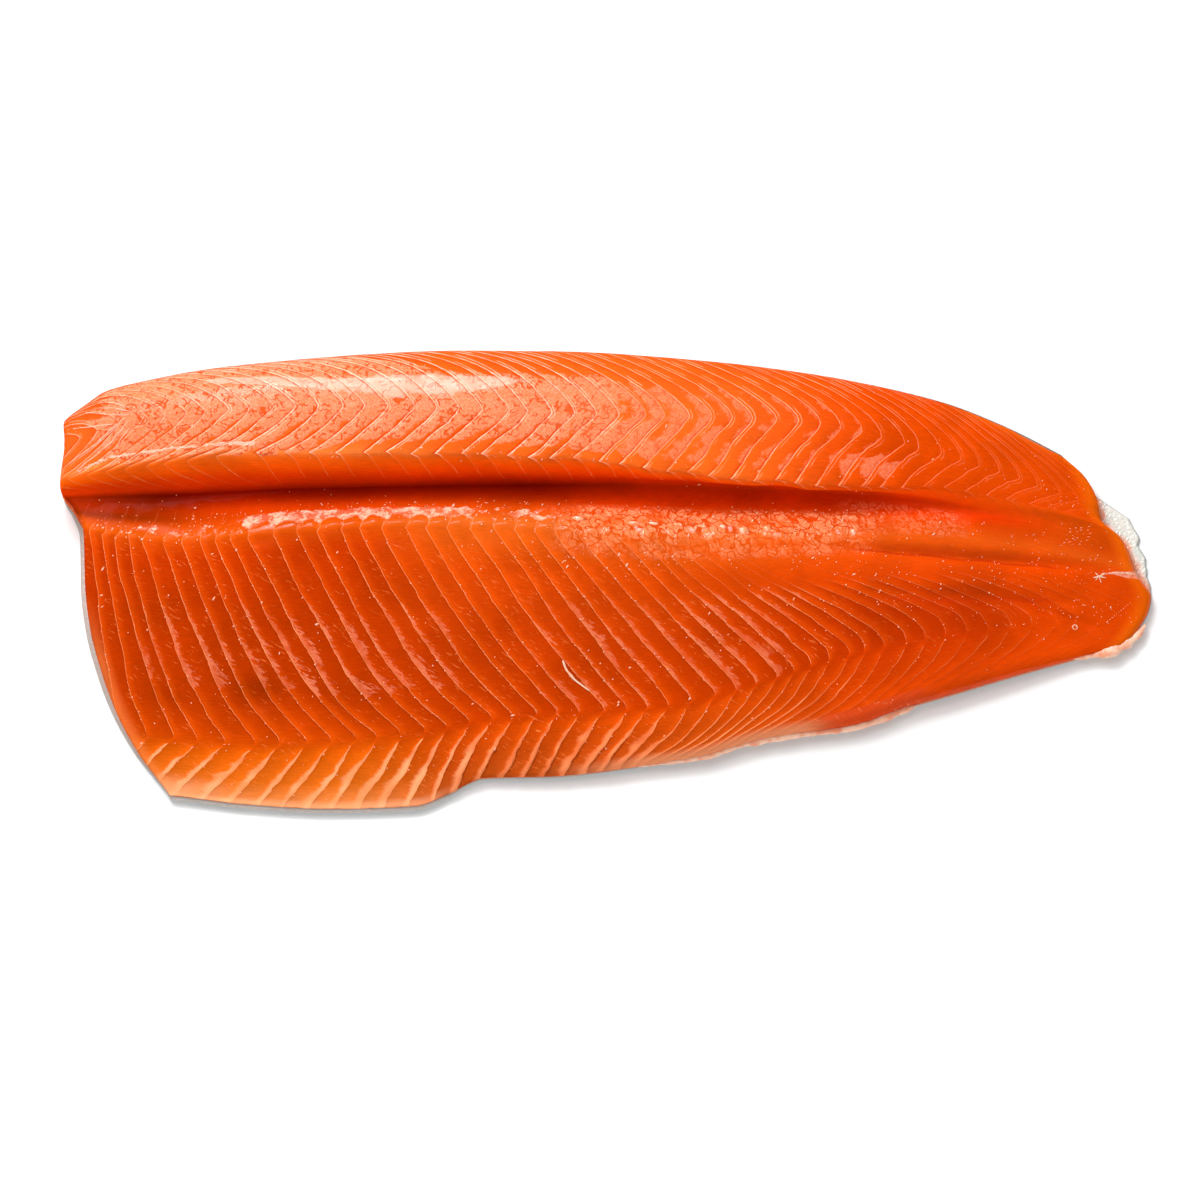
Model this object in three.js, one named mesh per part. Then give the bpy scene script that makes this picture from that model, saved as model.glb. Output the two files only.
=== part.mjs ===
import * as THREE from "three";

// A raw trout fillet lying skin side down, in millimetres: one slab of muscle on its own skin.
// +X runs from the head cut to the tail cut, +Y towards the fish's back and +Z up from the table.
// Lengthwise places are measured from the head cut, and crosswise places from the middle line.

const LENGTH = 400.6;
const SKIN_THICKNESS = 1.0;
const SKIN_GAP = 0.3;

// Lines that run along the fillet, each as [distance from the head cut, distance from the middle line].
const BACK_EDGE = [[0, 57], [9, 66.8], [26, 73.2], [70, 80.6], [150, 85.6], [180, 85.4], [235, 82],
  [279, 76.6], [324, 67.2], [346, 59], [368, 48], [401, 28]];
const LOIN_CREST = [[0, 46], [26, 55.5], [62, 59], [100, 60.5], [200, 57], [271, 55.5], [316, 46.5],
  [346, 38.5], [372, 30], [401, 19]];
const LOIN_LIP = [[0, 35.5], [33, 41], [60, 43.4], [160, 42.3], [200, 39.8], [240, 37], [300, 34.2],
  [346, 29], [372, 24.5], [401, 14]];
const BONE_GROOVE = [[0, 29], [40, 31], [90, 34], [200, 35.6], [240, 34.4], [300, 31], [346, 23.7],
  [375, 19], [401, 8]];
const BELLY_RIDGE = [[0, 20], [18, 14], [44, 11.2], [88, 15], [125, 16.8], [162, 15.8], [199, 12.6],
  [235, 10.7], [309, 11], [346, 9.8], [382, 5], [401, 1]];
const BELLY_FOLD = [[0, -56], [32, -57.8], [71, -61], [99, -60.4], [134, -56.6], [166, -51.6],
  [223, -48], [246, -42.6], [288, -29.4], [309, -24.6], [360, -17], [401, -14]];
const BELLY_EDGE = [[0, -77], [41, -80], [70, -83.4], [99, -85], [131, -84], [142, -80], [156, -73.6],
  [180, -73], [213, -69.4], [235, -66.6], [254, -61.4], [268, -59.4], [290, -56.8], [312, -47.4],
  [327, -42.4], [357, -33.2], [385, -26.1], [401, -24]];

// Height of the flesh on those lines, as [distance from the head cut, height above the table].
const CREST_HEIGHT = [[0, 22], [15, 24.5], [60, 27], [150, 28.4], [210, 28], [271, 25], [316, 20],
  [346, 14.5], [372, 9.5], [401, 6]];
const LIP_HEIGHT = [[0, 19], [15, 22], [60, 24.5], [150, 26], [200, 25.5], [260, 23.5], [316, 18],
  [346, 13], [372, 8.8], [401, 5.8]];
const GROOVE_HEIGHT = [[0, 14.5], [20, 12.5], [50, 9.5], [100, 8], [180, 8], [240, 9], [300, 10],
  [330, 9.5], [372, 7], [401, 5.4]];
const RIDGE_HEIGHT = [[0, 16], [60, 16.5], [130, 17.5], [200, 19], [270, 18.5], [320, 17], [350, 13.5],
  [375, 9.5], [401, 6]];
const FOLD_HEIGHT = [[0, 6], [50, 5.5], [100, 6.5], [150, 8.5], [220, 10.5], [270, 12.5], [310, 13],
  [345, 10.5], [375, 7], [401, 5.4]];
const BELLY_HEIGHT = [[0, 3], [130, 3.2], [156, 5], [200, 6.5], [250, 8], [300, 8.5], [340, 8],
  [370, 6], [401, 4.6]];

// The two cuts across the fillet, as [distance from the middle line, distance from the head end].
const HEAD_CUT = [[-90, 48], [-80.6, 42], [-63, 29], [-48, 21], [-34, 15.8], [-19, 11.8], [-5, 9.9],
  [17, 8.8], [25, 5.2], [33, 0], [49, 1.8], [62, 3.4], [67, 9], [90, 16]];
const TAIL_CUT = [[-32, 370], [-26.4, 386], [-22.3, 391.5], [-17.3, 395.5], [-10.8, 399.3],
  [-5.5, 400.3], [-1.5, 398], [3, 395], [10, 393], [16, 390], [23, 382.6], [31, 381], [39, 377],
  [48, 368], [60, 358]];

// How far the skin reaches out past the flesh, as [distance from the middle line, overhang].
const SKIN_PAST_HEAD_CUT = [[-80, 0.6], [-60, 1.5], [-20, 2.2], [0, 2.5], [15, 2.4], [27, 1.2], [33, 0],
  [90, 0]];
const SKIN_PAST_TAIL_CUT = [[-30, 0.1], [-5.5, 0.3], [0, 3.2], [8, 5.2], [14, 5.4], [20, 10],
  [24, 10.8], [27.5, 7], [31, 2.8], [34, 0.4], [60, 0.1]];
const SKIN_PAST_BELLY = 0.6;

// The back of the fish is round, so the skin turns up there, and it lifts a little along the belly.
const ROLL_HEIGHT_SHARE = 0.45;
const ROLL_WIDTH_SHARE = 0.75;
const BELLY_LIFT = 1.2;
const BELLY_LIFT_WIDTH = 14;

// The cut flesh stands out over the upturned skin, and this is the angle over which it comes out.
const BULGE_ANGLE = 0.15;

// Two extra furrows fan out towards the tail. They run out softly at both ends.
const TAIL_FURROWS = [
  { from: 278, to: 382, start: 9.5, end: 3.2, depth: 2.6, halfWidth: 2.8 },
  { from: 292, to: 378, start: -7.5, end: -9, depth: 2.8, halfWidth: 3.6 },
];
const FURROW_END_FULLNESS = 0.7;

// Edges of the flesh: how far in the rounding reaches, and the share of the height left as an upright face.
const HEAD_ROUNDING = { reach: 2.5, upright: 0.8 };
const TAIL_ROUNDING = { reach: 4, upright: 0.35 };
const BELLY_ROUNDING = { reach: 4, upright: 0.5 };

// Rows of points from one line to the next, and stations along the length.
const ROWS_BETWEEN_LINES = [7, 4, 5, 4, 6, 5];
const BELLY_ROWS = [4, 1.6, 0.5, 0];
const ROLL_ROWS = 6;
const FLAT_ROWS = 5;
const LIFT_ROWS = [0.6, 0.25];
const STATIONS = 58;
const END_STEPS = [0, 0.4, 1.3, 3];

// A cut is looked for a little beyond both ends, by halving the stretch it lies in.
const SEARCH_MARGIN = 5;
const SEARCH_HALVINGS = 40;
const SAME_POINT = 1e-4;

// A smooth curve through points that never swings past them (monotone cubic).
function smoothCurve(points) {
  const count = points.length;
  const step = (i) => points[i + 1][0] - points[i][0];
  const rise = (i) => (points[i + 1][1] - points[i][1]) / step(i);
  const slopeAt = (i) => {
    if (i === 0) return rise(0);
    if (i === count - 1) return rise(count - 2);
    if (rise(i - 1) * rise(i) <= 0) return 0;
    const before = 2 * step(i) + step(i - 1);
    const after = step(i) + 2 * step(i - 1);
    return (before + after) / (before / rise(i - 1) + after / rise(i));
  };
  const slopes = points.map((_, i) => slopeAt(i));
  return (place) => {
    const at = Math.min(Math.max(place, points[0][0]), points[count - 1][0]);
    let i = 0;
    while (i < count - 2 && at > points[i + 1][0]) i += 1;
    const width = step(i);
    const t = (at - points[i][0]) / width;
    const s = 1 - t;
    const heights = points[i][1] * s * s * (1 + 2 * t) + points[i + 1][1] * t * t * (1 + 2 * s);
    const bends = slopes[i] * width * t * s * s - slopes[i + 1] * width * t * t * s;
    return heights + bends;
  };
}

const lines = [BACK_EDGE, LOIN_CREST, LOIN_LIP, BONE_GROOVE, BELLY_RIDGE, BELLY_FOLD, BELLY_EDGE]
  .map(smoothCurve);
const heights = [CREST_HEIGHT, LIP_HEIGHT, GROOVE_HEIGHT, RIDGE_HEIGHT, FOLD_HEIGHT, BELLY_HEIGHT]
  .map(smoothCurve);
const [backEdge, loinCrest] = lines;
const bellyEdge = lines[lines.length - 1];
const crestHeight = heights[0];
const headCut = smoothCurve(HEAD_CUT);
const tailCut = smoothCurve(TAIL_CUT);
const skinPastHeadCut = smoothCurve(SKIN_PAST_HEAD_CUT);
const skinPastTailCut = smoothCurve(SKIN_PAST_TAIL_CUT);

const mix = (a, b, t) => a + (b - a) * t;
const rollHeight = (x) => ROLL_HEIGHT_SHARE * crestHeight(x);
const rollWidth = (x) => ROLL_WIDTH_SHARE * crestHeight(x);

// Where a row of points, given as y along the length, meets a cut across the fillet.
function meet(rowAt, cutAt, from, to) {
  let near = from;
  let far = to;
  for (let i = 0; i < SEARCH_HALVINGS; i += 1) {
    const middle = (near + far) / 2;
    if (middle < cutAt(rowAt(middle))) near = middle;
    else far = middle;
  }
  return (near + far) / 2;
}

// Stations along one row: close together by the two cuts, even between them.
function stationsBetween(from, to) {
  const inner = END_STEPS[END_STEPS.length - 1];
  const even = STATIONS - 2 * (END_STEPS.length - 1);
  const middle = Array.from({ length: even - 1 }, (_, i) => mix(from + inner, to - inner, (i + 1) / even));
  return [...END_STEPS.map((d) => from + d), ...middle, ...END_STEPS.toReversed().map((d) => to - d)];
}

function furrowDepth(x, y) {
  const depths = TAIL_FURROWS.map((furrow) => {
    const t = (x - furrow.from) / (furrow.to - furrow.from);
    if (t <= 0 || t >= 1) return 0;
    const off = (y - mix(furrow.start, furrow.end, t)) / furrow.halfWidth;
    return furrow.depth * Math.sin(Math.PI * t) ** FURROW_END_FULLNESS * Math.exp(-off * off);
  });
  return depths.reduce((sum, depth) => sum + depth, 0);
}

// Height of the flesh from the crest to the belly edge: a smooth section through all the lines.
function sectionHeight(x, y) {
  const section = heights.map((height, i) => [loinCrest(x) - lines[i + 1](x), height(x)]);
  return smoothCurve(section)(loinCrest(x) - y) - furrowDepth(x, y);
}

function bellyLift(x, y) {
  const near = Math.max(0, 1 - (y - bellyEdge(x)) / BELLY_LIFT_WIDTH);
  return BELLY_LIFT * near * near;
}

// Share of the height that is left at a distance from a rounded edge.
function rounding(distance, edge) {
  const q = Math.min(Math.max(distance / edge.reach, 0), 1);
  return edge.upright + (1 - edge.upright) * Math.sqrt(1 - (1 - q) * (1 - q));
}

// Height of a row at x, where the row runs between two cuts.
function fleshHeight(row, x, from, to) {
  const ends = rounding(x - from, HEAD_ROUNDING) * rounding(to - x, TAIL_ROUNDING);
  if (row.rise !== undefined) return rollHeight(x) + (crestHeight(x) - rollHeight(x)) * row.rise * ends;
  const floor = SKIN_THICKNESS + SKIN_GAP + bellyLift(x, row.y(x));
  const side = row.fromBelly === undefined ? 1 : rounding(row.fromBelly, BELLY_ROUNDING);
  return floor + (sectionHeight(x, row.y(x)) - floor) * ends * side;
}

// Rows of the top of the flesh, each with its y along the length: the round back, then line by line
// to the belly edge.
function fleshRows() {
  const rows = [];
  for (let i = 0; i < ROWS_BETWEEN_LINES[0]; i += 1) {
    const angle = (i / ROWS_BETWEEN_LINES[0]) * (Math.PI / 2);
    const tucked = (SKIN_THICKNESS + SKIN_GAP) * Math.exp(-angle / BULGE_ANGLE);
    const inward = 1 - Math.cos(angle);
    rows.push({ y: (x) => mix(backEdge(x), loinCrest(x), inward) - tucked, rise: Math.sin(angle) });
  }
  for (let k = 1; k < ROWS_BETWEEN_LINES.length; k += 1) {
    const short = k === ROWS_BETWEEN_LINES.length - 1 ? BELLY_ROUNDING.reach : 0;
    for (let i = 0; i < ROWS_BETWEEN_LINES[k]; i += 1) {
      rows.push({ y: (x) => mix(lines[k](x), lines[k + 1](x) + short, i / ROWS_BETWEEN_LINES[k]) });
    }
  }
  BELLY_ROWS.forEach((d) => rows.push({ y: (x) => bellyEdge(x) + d, fromBelly: d }));
  return rows;
}

// Rows of a face of the skin, or of the flesh on it, a given depth inside the skin's outer face.
function underRows(depth, pastBelly) {
  const rows = [];
  for (let i = 0; i < ROLL_ROWS; i += 1) {
    const angle = (1 - i / ROLL_ROWS) * (Math.PI / 2);
    rows.push({
      y: (x) => backEdge(x) - rollWidth(x) + (rollWidth(x) - depth) * Math.sin(angle),
      z: (x) => rollHeight(x) - (rollHeight(x) - depth) * Math.cos(angle),
    });
  }
  const lifted = (y) => ({ y, z: (x) => depth + bellyLift(x, y(x)) });
  for (let i = 0; i <= FLAT_ROWS; i += 1) {
    const t = i / FLAT_ROWS;
    rows.push(lifted((x) => mix(backEdge(x) - rollWidth(x), bellyEdge(x) + BELLY_LIFT_WIDTH, t)));
  }
  LIFT_ROWS.forEach((share) => rows.push(lifted((x) => bellyEdge(x) + share * BELLY_LIFT_WIDTH)));
  rows.push(lifted((x) => bellyEdge(x) - pastBelly));
  return rows;
}

// A grid of points, row by row, between a head cut and a tail cut.
function grid(rows, head, tail, heightAt) {
  return rows.map((row) => {
    const from = meet(row.y, head, -SEARCH_MARGIN, LENGTH / 2);
    const to = meet(row.y, tail, LENGTH / 2, LENGTH + SEARCH_MARGIN);
    return stationsBetween(from, to).map((x) => new THREE.Vector3(x, row.y(x), heightAt(row, x, from, to)));
  });
}

// Triangles between two runs of points that lie side by side.
function zip(faces, left, right) {
  let i = 0;
  let j = 0;
  while (i < left.length - 1 || j < right.length - 1) {
    const rightIsDone = j === right.length - 1;
    const leftIsDone = i === left.length - 1;
    const shorterByLeft = !leftIsDone && !rightIsDone &&
      left[i + 1].distanceTo(right[j]) <= left[i].distanceTo(right[j + 1]);
    if (rightIsDone || shorterByLeft) {
      faces.push([left[i], right[j], left[i + 1]]);
      i += 1;
    } else {
      faces.push([left[i], right[j], right[j + 1]]);
      j += 1;
    }
  }
}

// One closed body between an upper and a lower grid, with a wall round all four sides.
function closedBody(top, bottom) {
  const faces = [];
  const first = (rows) => rows.map((row) => row[0]);
  const last = (rows) => rows.map((row) => row[row.length - 1]);
  for (let r = 0; r < top.length - 1; r += 1) zip(faces, top[r], top[r + 1]);
  for (let r = 0; r < bottom.length - 1; r += 1) zip(faces, bottom[r + 1], bottom[r]);
  zip(faces, bottom[0], top[0]);
  zip(faces, top[top.length - 1], bottom[bottom.length - 1]);
  zip(faces, first(top), first(bottom));
  zip(faces, last(bottom), last(top));
  const apart = (a, b) => a.distanceTo(b) > SAME_POINT;
  const whole = faces.filter(([a, b, c]) => apart(a, b) && apart(b, c) && apart(c, a));
  const geometry = new THREE.BufferGeometry().setFromPoints(whole.flat());
  geometry.translate(-LENGTH / 2, 0, 0);
  geometry.computeVertexNormals();
  return geometry;
}

// The muscle: the thick round loin along the back, the bone groove, then the flank thinning to the belly.
function fleshShape() {
  const under = underRows(SKIN_THICKNESS + SKIN_GAP, 0);
  return closedBody(
    grid(fleshRows(), headCut, tailCut, fleshHeight),
    grid(under, headCut, tailCut, (row, x) => row.z(x)),
  );
}

// The skin: an even sheet under all of the flesh, turned up along the back and showing past the cuts.
function skinShape() {
  const head = (y) => headCut(y) - skinPastHeadCut(y);
  const tail = (y) => tailCut(y) + skinPastTailCut(y);
  const face = (depth) => grid(underRows(depth, SKIN_PAST_BELLY), head, tail, (row, x) => row.z(x));
  return closedBody(face(SKIN_THICKNESS), face(0));
}

function piece(name, geometry, color, roughness) {
  const material = new THREE.MeshStandardMaterial({ color, roughness, metalness: 0 });
  const mesh = new THREE.Mesh(geometry, material);
  mesh.name = name;
  return mesh;
}

const fillet = new THREE.Group();
fillet.add(piece("flesh", fleshShape(), 0xe8591a, 0.35));
fillet.add(piece("skin", skinShape(), 0xb9bcb6, 0.3));

export default fillet;
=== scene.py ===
import bmesh
import bpy
import numpy as np
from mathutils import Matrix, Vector


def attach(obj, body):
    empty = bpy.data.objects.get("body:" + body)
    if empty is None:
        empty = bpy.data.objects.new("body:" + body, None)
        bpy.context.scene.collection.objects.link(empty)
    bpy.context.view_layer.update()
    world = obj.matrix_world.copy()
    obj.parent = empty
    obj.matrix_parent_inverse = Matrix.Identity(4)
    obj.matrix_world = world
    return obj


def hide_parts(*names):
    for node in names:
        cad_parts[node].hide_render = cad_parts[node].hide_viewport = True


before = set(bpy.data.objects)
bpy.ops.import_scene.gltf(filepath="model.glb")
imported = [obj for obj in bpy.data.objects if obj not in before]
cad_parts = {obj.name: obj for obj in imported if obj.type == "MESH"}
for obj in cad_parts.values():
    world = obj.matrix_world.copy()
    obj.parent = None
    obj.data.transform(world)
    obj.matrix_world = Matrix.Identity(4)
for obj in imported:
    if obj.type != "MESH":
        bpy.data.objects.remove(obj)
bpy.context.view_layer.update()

# ---------------------------------------------------------------------------------------------
# Flesh. One side of a trout: the thick round loin along the back, the groove where the backbone
# was, and the flank thinning to the belly. It is raw muscle in folded segments, each held to the
# next by a pale sheet of gristle, and a knife has cut it square at the head and round at the tail.
# ---------------------------------------------------------------------------------------------
# Lengths are in millimetres from the head cut (s) and from the middle line (y) until a mesh is made.
MM = 0.001
LENGTH = 400.6

BACK_EDGE = [(0, 58.4), (1, 59.4), (9, 65.6), (16, 70.3), (26, 73.2), (70, 80.6), (150, 85.6), (180, 85.4),
             (235, 82), (279, 76.6), (324, 67.2), (346, 59), (368, 48), (401, 28)]
LOIN_CREST = [(0, 46), (26, 55.5), (62, 59), (100, 60.5), (200, 57), (271, 55.5), (316, 46.5), (346, 38.5),
              (372, 30), (401, 19)]
LOIN_LIP = [(0, 35.5), (33, 41), (60, 43.4), (160, 42.3), (200, 39.8), (240, 37), (300, 34.2), (346, 29),
            (372, 24.5), (401, 14)]
BONE_GROOVE = [(0, 29), (40, 31), (90, 34), (200, 35.6), (240, 34.4), (300, 31), (346, 23.7), (375, 19),
               (401, 8)]
BELLY_RIDGE = [(0, 20), (18, 14), (44, 11.2), (88, 15), (125, 16.8), (162, 15.8), (199, 12.6), (235, 10.7),
               (309, 11), (346, 9.8), (382, 5), (401, 1)]
BELLY_FOLD = [(0, -56), (32, -57.8), (71, -61), (99, -60.4), (134, -56.6), (166, -51.6), (223, -48),
              (246, -42.6), (288, -29.4), (309, -24.6), (360, -17), (401, -14)]
BELLY_EDGE = [(0, -77), (41, -80), (70, -83.4), (99, -85), (131, -84), (142, -80), (156, -73.6), (180, -73),
    (213, -69.2), (235, -65.8), (254, -60.2), (268, -57.6), (290, -54.4), (312, -46.6), (327, -42.2),
    (357, -33.2), (385, -26.1), (401, -24)]

CREST_HEIGHT = [(0, 22), (15, 24.5), (60, 27), (150, 28.4), (210, 28), (271, 25), (316, 20), (346, 14.5),
                (372, 9.5), (401, 6)]
LIP_HEIGHT = [(0, 19), (15, 22), (60, 24.5), (150, 26), (200, 25.5), (260, 23.5), (316, 18), (346, 13),
              (372, 8.8), (401, 5.8)]
GROOVE_HEIGHT = [(0, 14.5), (20, 12.5), (50, 9.5), (100, 8), (180, 8), (240, 9), (300, 10), (330, 9.5),
                 (372, 7), (401, 5.4)]
RIDGE_HEIGHT = [(0, 16), (60, 16.5), (130, 17.5), (200, 19), (270, 18.5), (320, 17), (350, 13.5), (375, 9.5),
                (401, 6)]
FOLD_HEIGHT = [(0, 6), (50, 5.5), (100, 6.5), (150, 8.5), (220, 10.5), (270, 12.5), (310, 13), (345, 10.5),
               (375, 7), (401, 5.4)]
BELLY_HEIGHT = [(0, 3), (130, 3.2), (156, 5), (200, 6.5), (250, 8), (300, 8.5), (340, 8), (370, 6),
    (401, 4.6)]

HEAD_CUT = [(-90, 48), (-80.6, 42), (-63, 29), (-48, 21), (-34, 15.8), (-19, 11.8), (-5, 9.9), (17, 8.8),
            (25, 5.2), (33, 0), (49, 1.7), (57, 0.9), (61, 1.4), (67, 8), (90, 16)]
TAIL_CUT = [(-32, 370), (-26.4, 386), (-22.3, 391.5), (-17.3, 395.5), (-10.8, 399.3), (-5.5, 400.3),
    (-1.5, 398), (3, 395), (10, 393), (16, 390), (23, 382.6), (31, 381), (39, 377), (48, 368), (60, 358)]

UNDER_FLESH = 1.3
ROLL_HEIGHT_SHARE, ROLL_WIDTH_SHARE = 0.45, 0.75
BELLY_LIFT, BELLY_LIFT_WIDTH = 1.2, 14
BULGE, BULGE_ANGLE = 1.3, 0.15
HEAD_ROUNDING, TAIL_ROUNDING, BELLY_ROUNDING = (2.5, 0.8), (4, 0.35), (4, 0.5)
TAIL_FURROWS = [(278, 386, 9.5, 3.2, 2.8, 2.4), (292, 378, -7.5, -9, 2.0, 3.4),
                (352, 382, -9, -19, 1.7, 2.0)]


def curve_through(knots, heights, at):
    """A smooth curve through points that never swings past them, for many places at once."""
    knots, heights = np.atleast_2d(knots).astype(float), np.atleast_2d(heights).astype(float)
    at = np.clip(at, knots[:, 0], knots[:, -1])
    width = np.diff(knots)
    rise = np.diff(heights) / width
    before, after = 2 * width[:, 1:] + width[:, :-1], width[:, 1:] + 2 * width[:, :-1]
    same_way = rise[:, :-1] * rise[:, 1:] > 0
    with np.errstate(divide="ignore", invalid="ignore"):
        inner = np.where(same_way, (before + after) / (before / rise[:, :-1] + after / rise[:, 1:]), 0)
    slope = np.concatenate([rise[:, :1], inner, rise[:, -1:]], axis=1)
    i = (at[:, None] > knots[:, 1:-1]).sum(axis=1)
    row = np.arange(len(at)) if len(knots) > 1 else np.zeros(len(at), int)
    w = width[row, i]
    t = (at - knots[row, i]) / w
    u = 1 - t
    return (heights[row, i] * u * u * (1 + 2 * t) + heights[row, i + 1] * t * t * (1 + 2 * u)
            + slope[row, i] * w * t * u * u - slope[row, i + 1] * w * t * t * u)


def along(points, at):
    """The curve through a table of points, at one place or many."""
    at = np.asarray(at, float)
    knots, heights = zip(*points)
    return curve_through(knots, heights, at.ravel()).reshape(at.shape)


def mix(a, b, t):
    return a + (b - a) * t


def rise_between(value, low, high):
    """0 below low, 1 above high and smooth between them, with low and high either way round."""
    t = np.clip((value - low) / (high - low), 0, 1)
    return t * t * (3 - 2 * t)


def patch(value, low, high, soft):
    """1 between low and high, fading out over a soft margin on both sides."""
    return rise_between(value, low - soft, low) * rise_between(value, high + soft, high)


def mottle(u, v, seed):
    """Soft random hills and hollows from -1 to 1, one to each unit square."""
    table = np.random.default_rng(seed).uniform(-1, 1, (64, 64))
    i, j = np.floor(u).astype(int), np.floor(v).astype(int)
    a, b = u - i, v - j
    a, b = a * a * (3 - 2 * a), b * b * (3 - 2 * b)
    near = mix(table[i % 64, j % 64], table[(i + 1) % 64, j % 64], a)
    far = mix(table[i % 64, (j + 1) % 64], table[(i + 1) % 64, (j + 1) % 64], a)
    return mix(near, far, b)


LINES = [BACK_EDGE, LOIN_CREST, LOIN_LIP, BONE_GROOVE, BELLY_RIDGE, BELLY_FOLD, BELLY_EDGE]
LINE_HEIGHTS = [CREST_HEIGHT, LIP_HEIGHT, GROOVE_HEIGHT, RIDGE_HEIGHT, FOLD_HEIGHT, BELLY_HEIGHT]


def crosswise(t, s):
    """y of a place t lines down from the back edge: 1 crest, 2 lip, 3 groove, 4 ridge, 5 fold, 6 edge."""
    line_y = np.stack([along(line, s) for line in LINES])
    k = np.clip(np.floor(t).astype(int), 0, 5)
    pick = np.arange(len(s))
    y = mix(line_y[k, pick], line_y[k + 1, pick], t - k)
    angle = np.clip(t, 0, 1) * np.pi / 2
    cut_back = 1.0 + 1.8 * patch(s, 354, 363, 4)
    back = mix(line_y[0], line_y[1], 1 - np.cos(angle)) - BULGE * cut_back * np.exp(-angle / BULGE_ANGLE)
    return np.where(t < 1, back, y)


def belly_lift(s, y):
    near = np.clip(1 - (y - along(BELLY_EDGE, s)) / BELLY_LIFT_WIDTH, 0, None)
    return BELLY_LIFT * near * near


def rounding(distance, edge):
    reach, upright = edge
    q = np.clip(distance / reach, 0, 1)
    return upright + (1 - upright) * np.sqrt(1 - (1 - q) ** 2)


def furrows(s, y):
    depth = np.zeros_like(s)
    for start, end, y_start, y_end, deep, half_width in TAIL_FURROWS:
        t = np.clip((s - start) / (end - start), 0, 1)
        off = (y - mix(y_start, y_end, t)) / half_width
        depth += deep * np.sin(np.pi * t) ** 0.7 * np.exp(-off * off)
    return depth


def flesh_height(t, s, y, from_head, from_tail):
    """Height of the smooth flesh over the table, before the segments are worked into it."""
    ends = rounding(from_head, HEAD_ROUNDING) * rounding(from_tail, TAIL_ROUNDING)
    crest, crest_y = along(CREST_HEIGHT, s), along(LOIN_CREST, s)
    roll = ROLL_HEIGHT_SHARE * crest
    back = roll + (crest - roll) * np.sin(np.clip(t, 0, 1) * np.pi / 2) * ends
    knots = np.stack([crest_y - along(line, s) for line in LINES[1:]], axis=1)
    heights = np.stack([along(line, s) for line in LINE_HEIGHTS], axis=1)
    section = curve_through(knots, heights, crest_y - y) - furrows(s, y)
    floor = UNDER_FLESH + belly_lift(s, y)
    side = rounding(y - along(BELLY_EDGE, s), BELLY_ROUNDING)
    return np.where(t < 1, back, floor + (section - floor) * ends * side)


LIP_OVERHANG = [(190, 0), (235, 2.3), (272, 3.6), (300, 2.7), (325, 0)]


def overhang(t, s):
    """How far the lip of the loin leans out over the groove."""
    leaning = along(LIP_OVERHANG, s) + 0.9 * mottle(s / 11, 0 * s + 0.4, 15) * patch(s, 110, 330, 30)
    return leaning * rise_between(t, 1.5, 2.0) * rise_between(t, 2.8, 2.25)


# The sheets of gristle between the segments. On the loin each one points to the tail at the crest,
# hooks back at the lip and runs down into the groove. On the flank it points to the tail at the fold.
LOIN_SEPTA = [(-12, -31), (0, 61.8), (14, 180.1), (26, 278.3), (35, 344.5), (46, 424)]
LOIN_SWEEP = [(-12, 34), (0, 46), (14, 46), (23, 41), (32, 39), (46, 34)]
LOIN_SWEEP_BEND = [(-12, 2), (8, 2), (23, 1.5), (32, 1.8), (46, 1.8)]
LOIN_HOOK = [(-12, 16), (-4, 24), (3, 27), (8, 20), (12, 18.4), (26, 18.4), (33, 15), (46, 8)]
FLANK_SEPTA = [(-6, -8), (-3, 15), (0, 42.3), (5, 90.8), (10, 134.2), (15, 174.3), (20, 215.4), (25, 254.8),
               (30, 288.2), (35, 323.9), (38, 348.2), (44, 397), (52, 462)]
FLANK_SWEEP = [(-6, 4), (-3, 9), (0, 21.7), (2, 29.8), (4, 36.4), (8, 47), (14, 47.8), (20, 48.9), (28, 50),
               (31, 58), (36, 74), (40, 74), (46, 56), (52, 40)]
FLANK_SWEEP_BEND = [(-6, 0.6), (3, 0.55), (10, 0.62), (16, 0.82), (27, 1.25), (32, 1.45), (37, 1.8),
                    (52, 1.8)]
FLANK_RETURN = [(-6, 0.5), (-2, 0.8), (4, 0.88), (15, 0.6), (20, 0.8), (25, 1.2), (29, 1.35), (52, 1.4)]
APEX_ROUNDING = 0.03


def rounded_power(w, power, r=APEX_ROUNDING):
    """w to a power, from 0 to 1, with the point at w = 0 rounded off."""
    return (((w * w + r * r) ** (power / 2) - r**power) / ((1 + r * r) ** (power / 2) - r**power))


def loin_septum(n, t):
    """How far from the head cut the loin's sheet number n passes the line t."""
    tip = along(LOIN_SEPTA, n)
    up = np.clip(np.cos(np.clip(t, 0, 1) * np.pi / 2), 0, 1)
    rounded = rise_between(n, 4.5, 2)
    lip = 2 + 0.16 * rounded
    down = np.clip(t - 1, 0, lip - 1)
    slope = np.clip(t - lip, 0, 1)
    hook = along(LOIN_HOOK, n)
    wave = (0.8 * mottle(n * 0.9, t * 2.3, 11) + 0.35 * mottle(n * 1.1, t * 6, 13)) * np.clip(t, 0.2, 1)
    round_sweep, pointed_sweep = (rounded_power(up, along(LOIN_SWEEP_BEND, n)), 0.46 * rounded_power(up, 1)
        + 0.54 * up ** 4)
    swept = -along(LOIN_SWEEP, n) * mix(round_sweep, pointed_sweep, rise_between(n, 22, 14))
    straight = np.sqrt(down**2 + 0.004) - 0.063
    hooked = -(np.minimum(hook, 17) * straight + np.maximum(hook - 17, 0) * straight**3)
    back = mix(5.5 * np.sqrt(slope + 0.002) + 5 * slope, 6 * slope + 30 * slope**2, rounded)
    return tip + swept + hooked + back + wave


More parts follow.
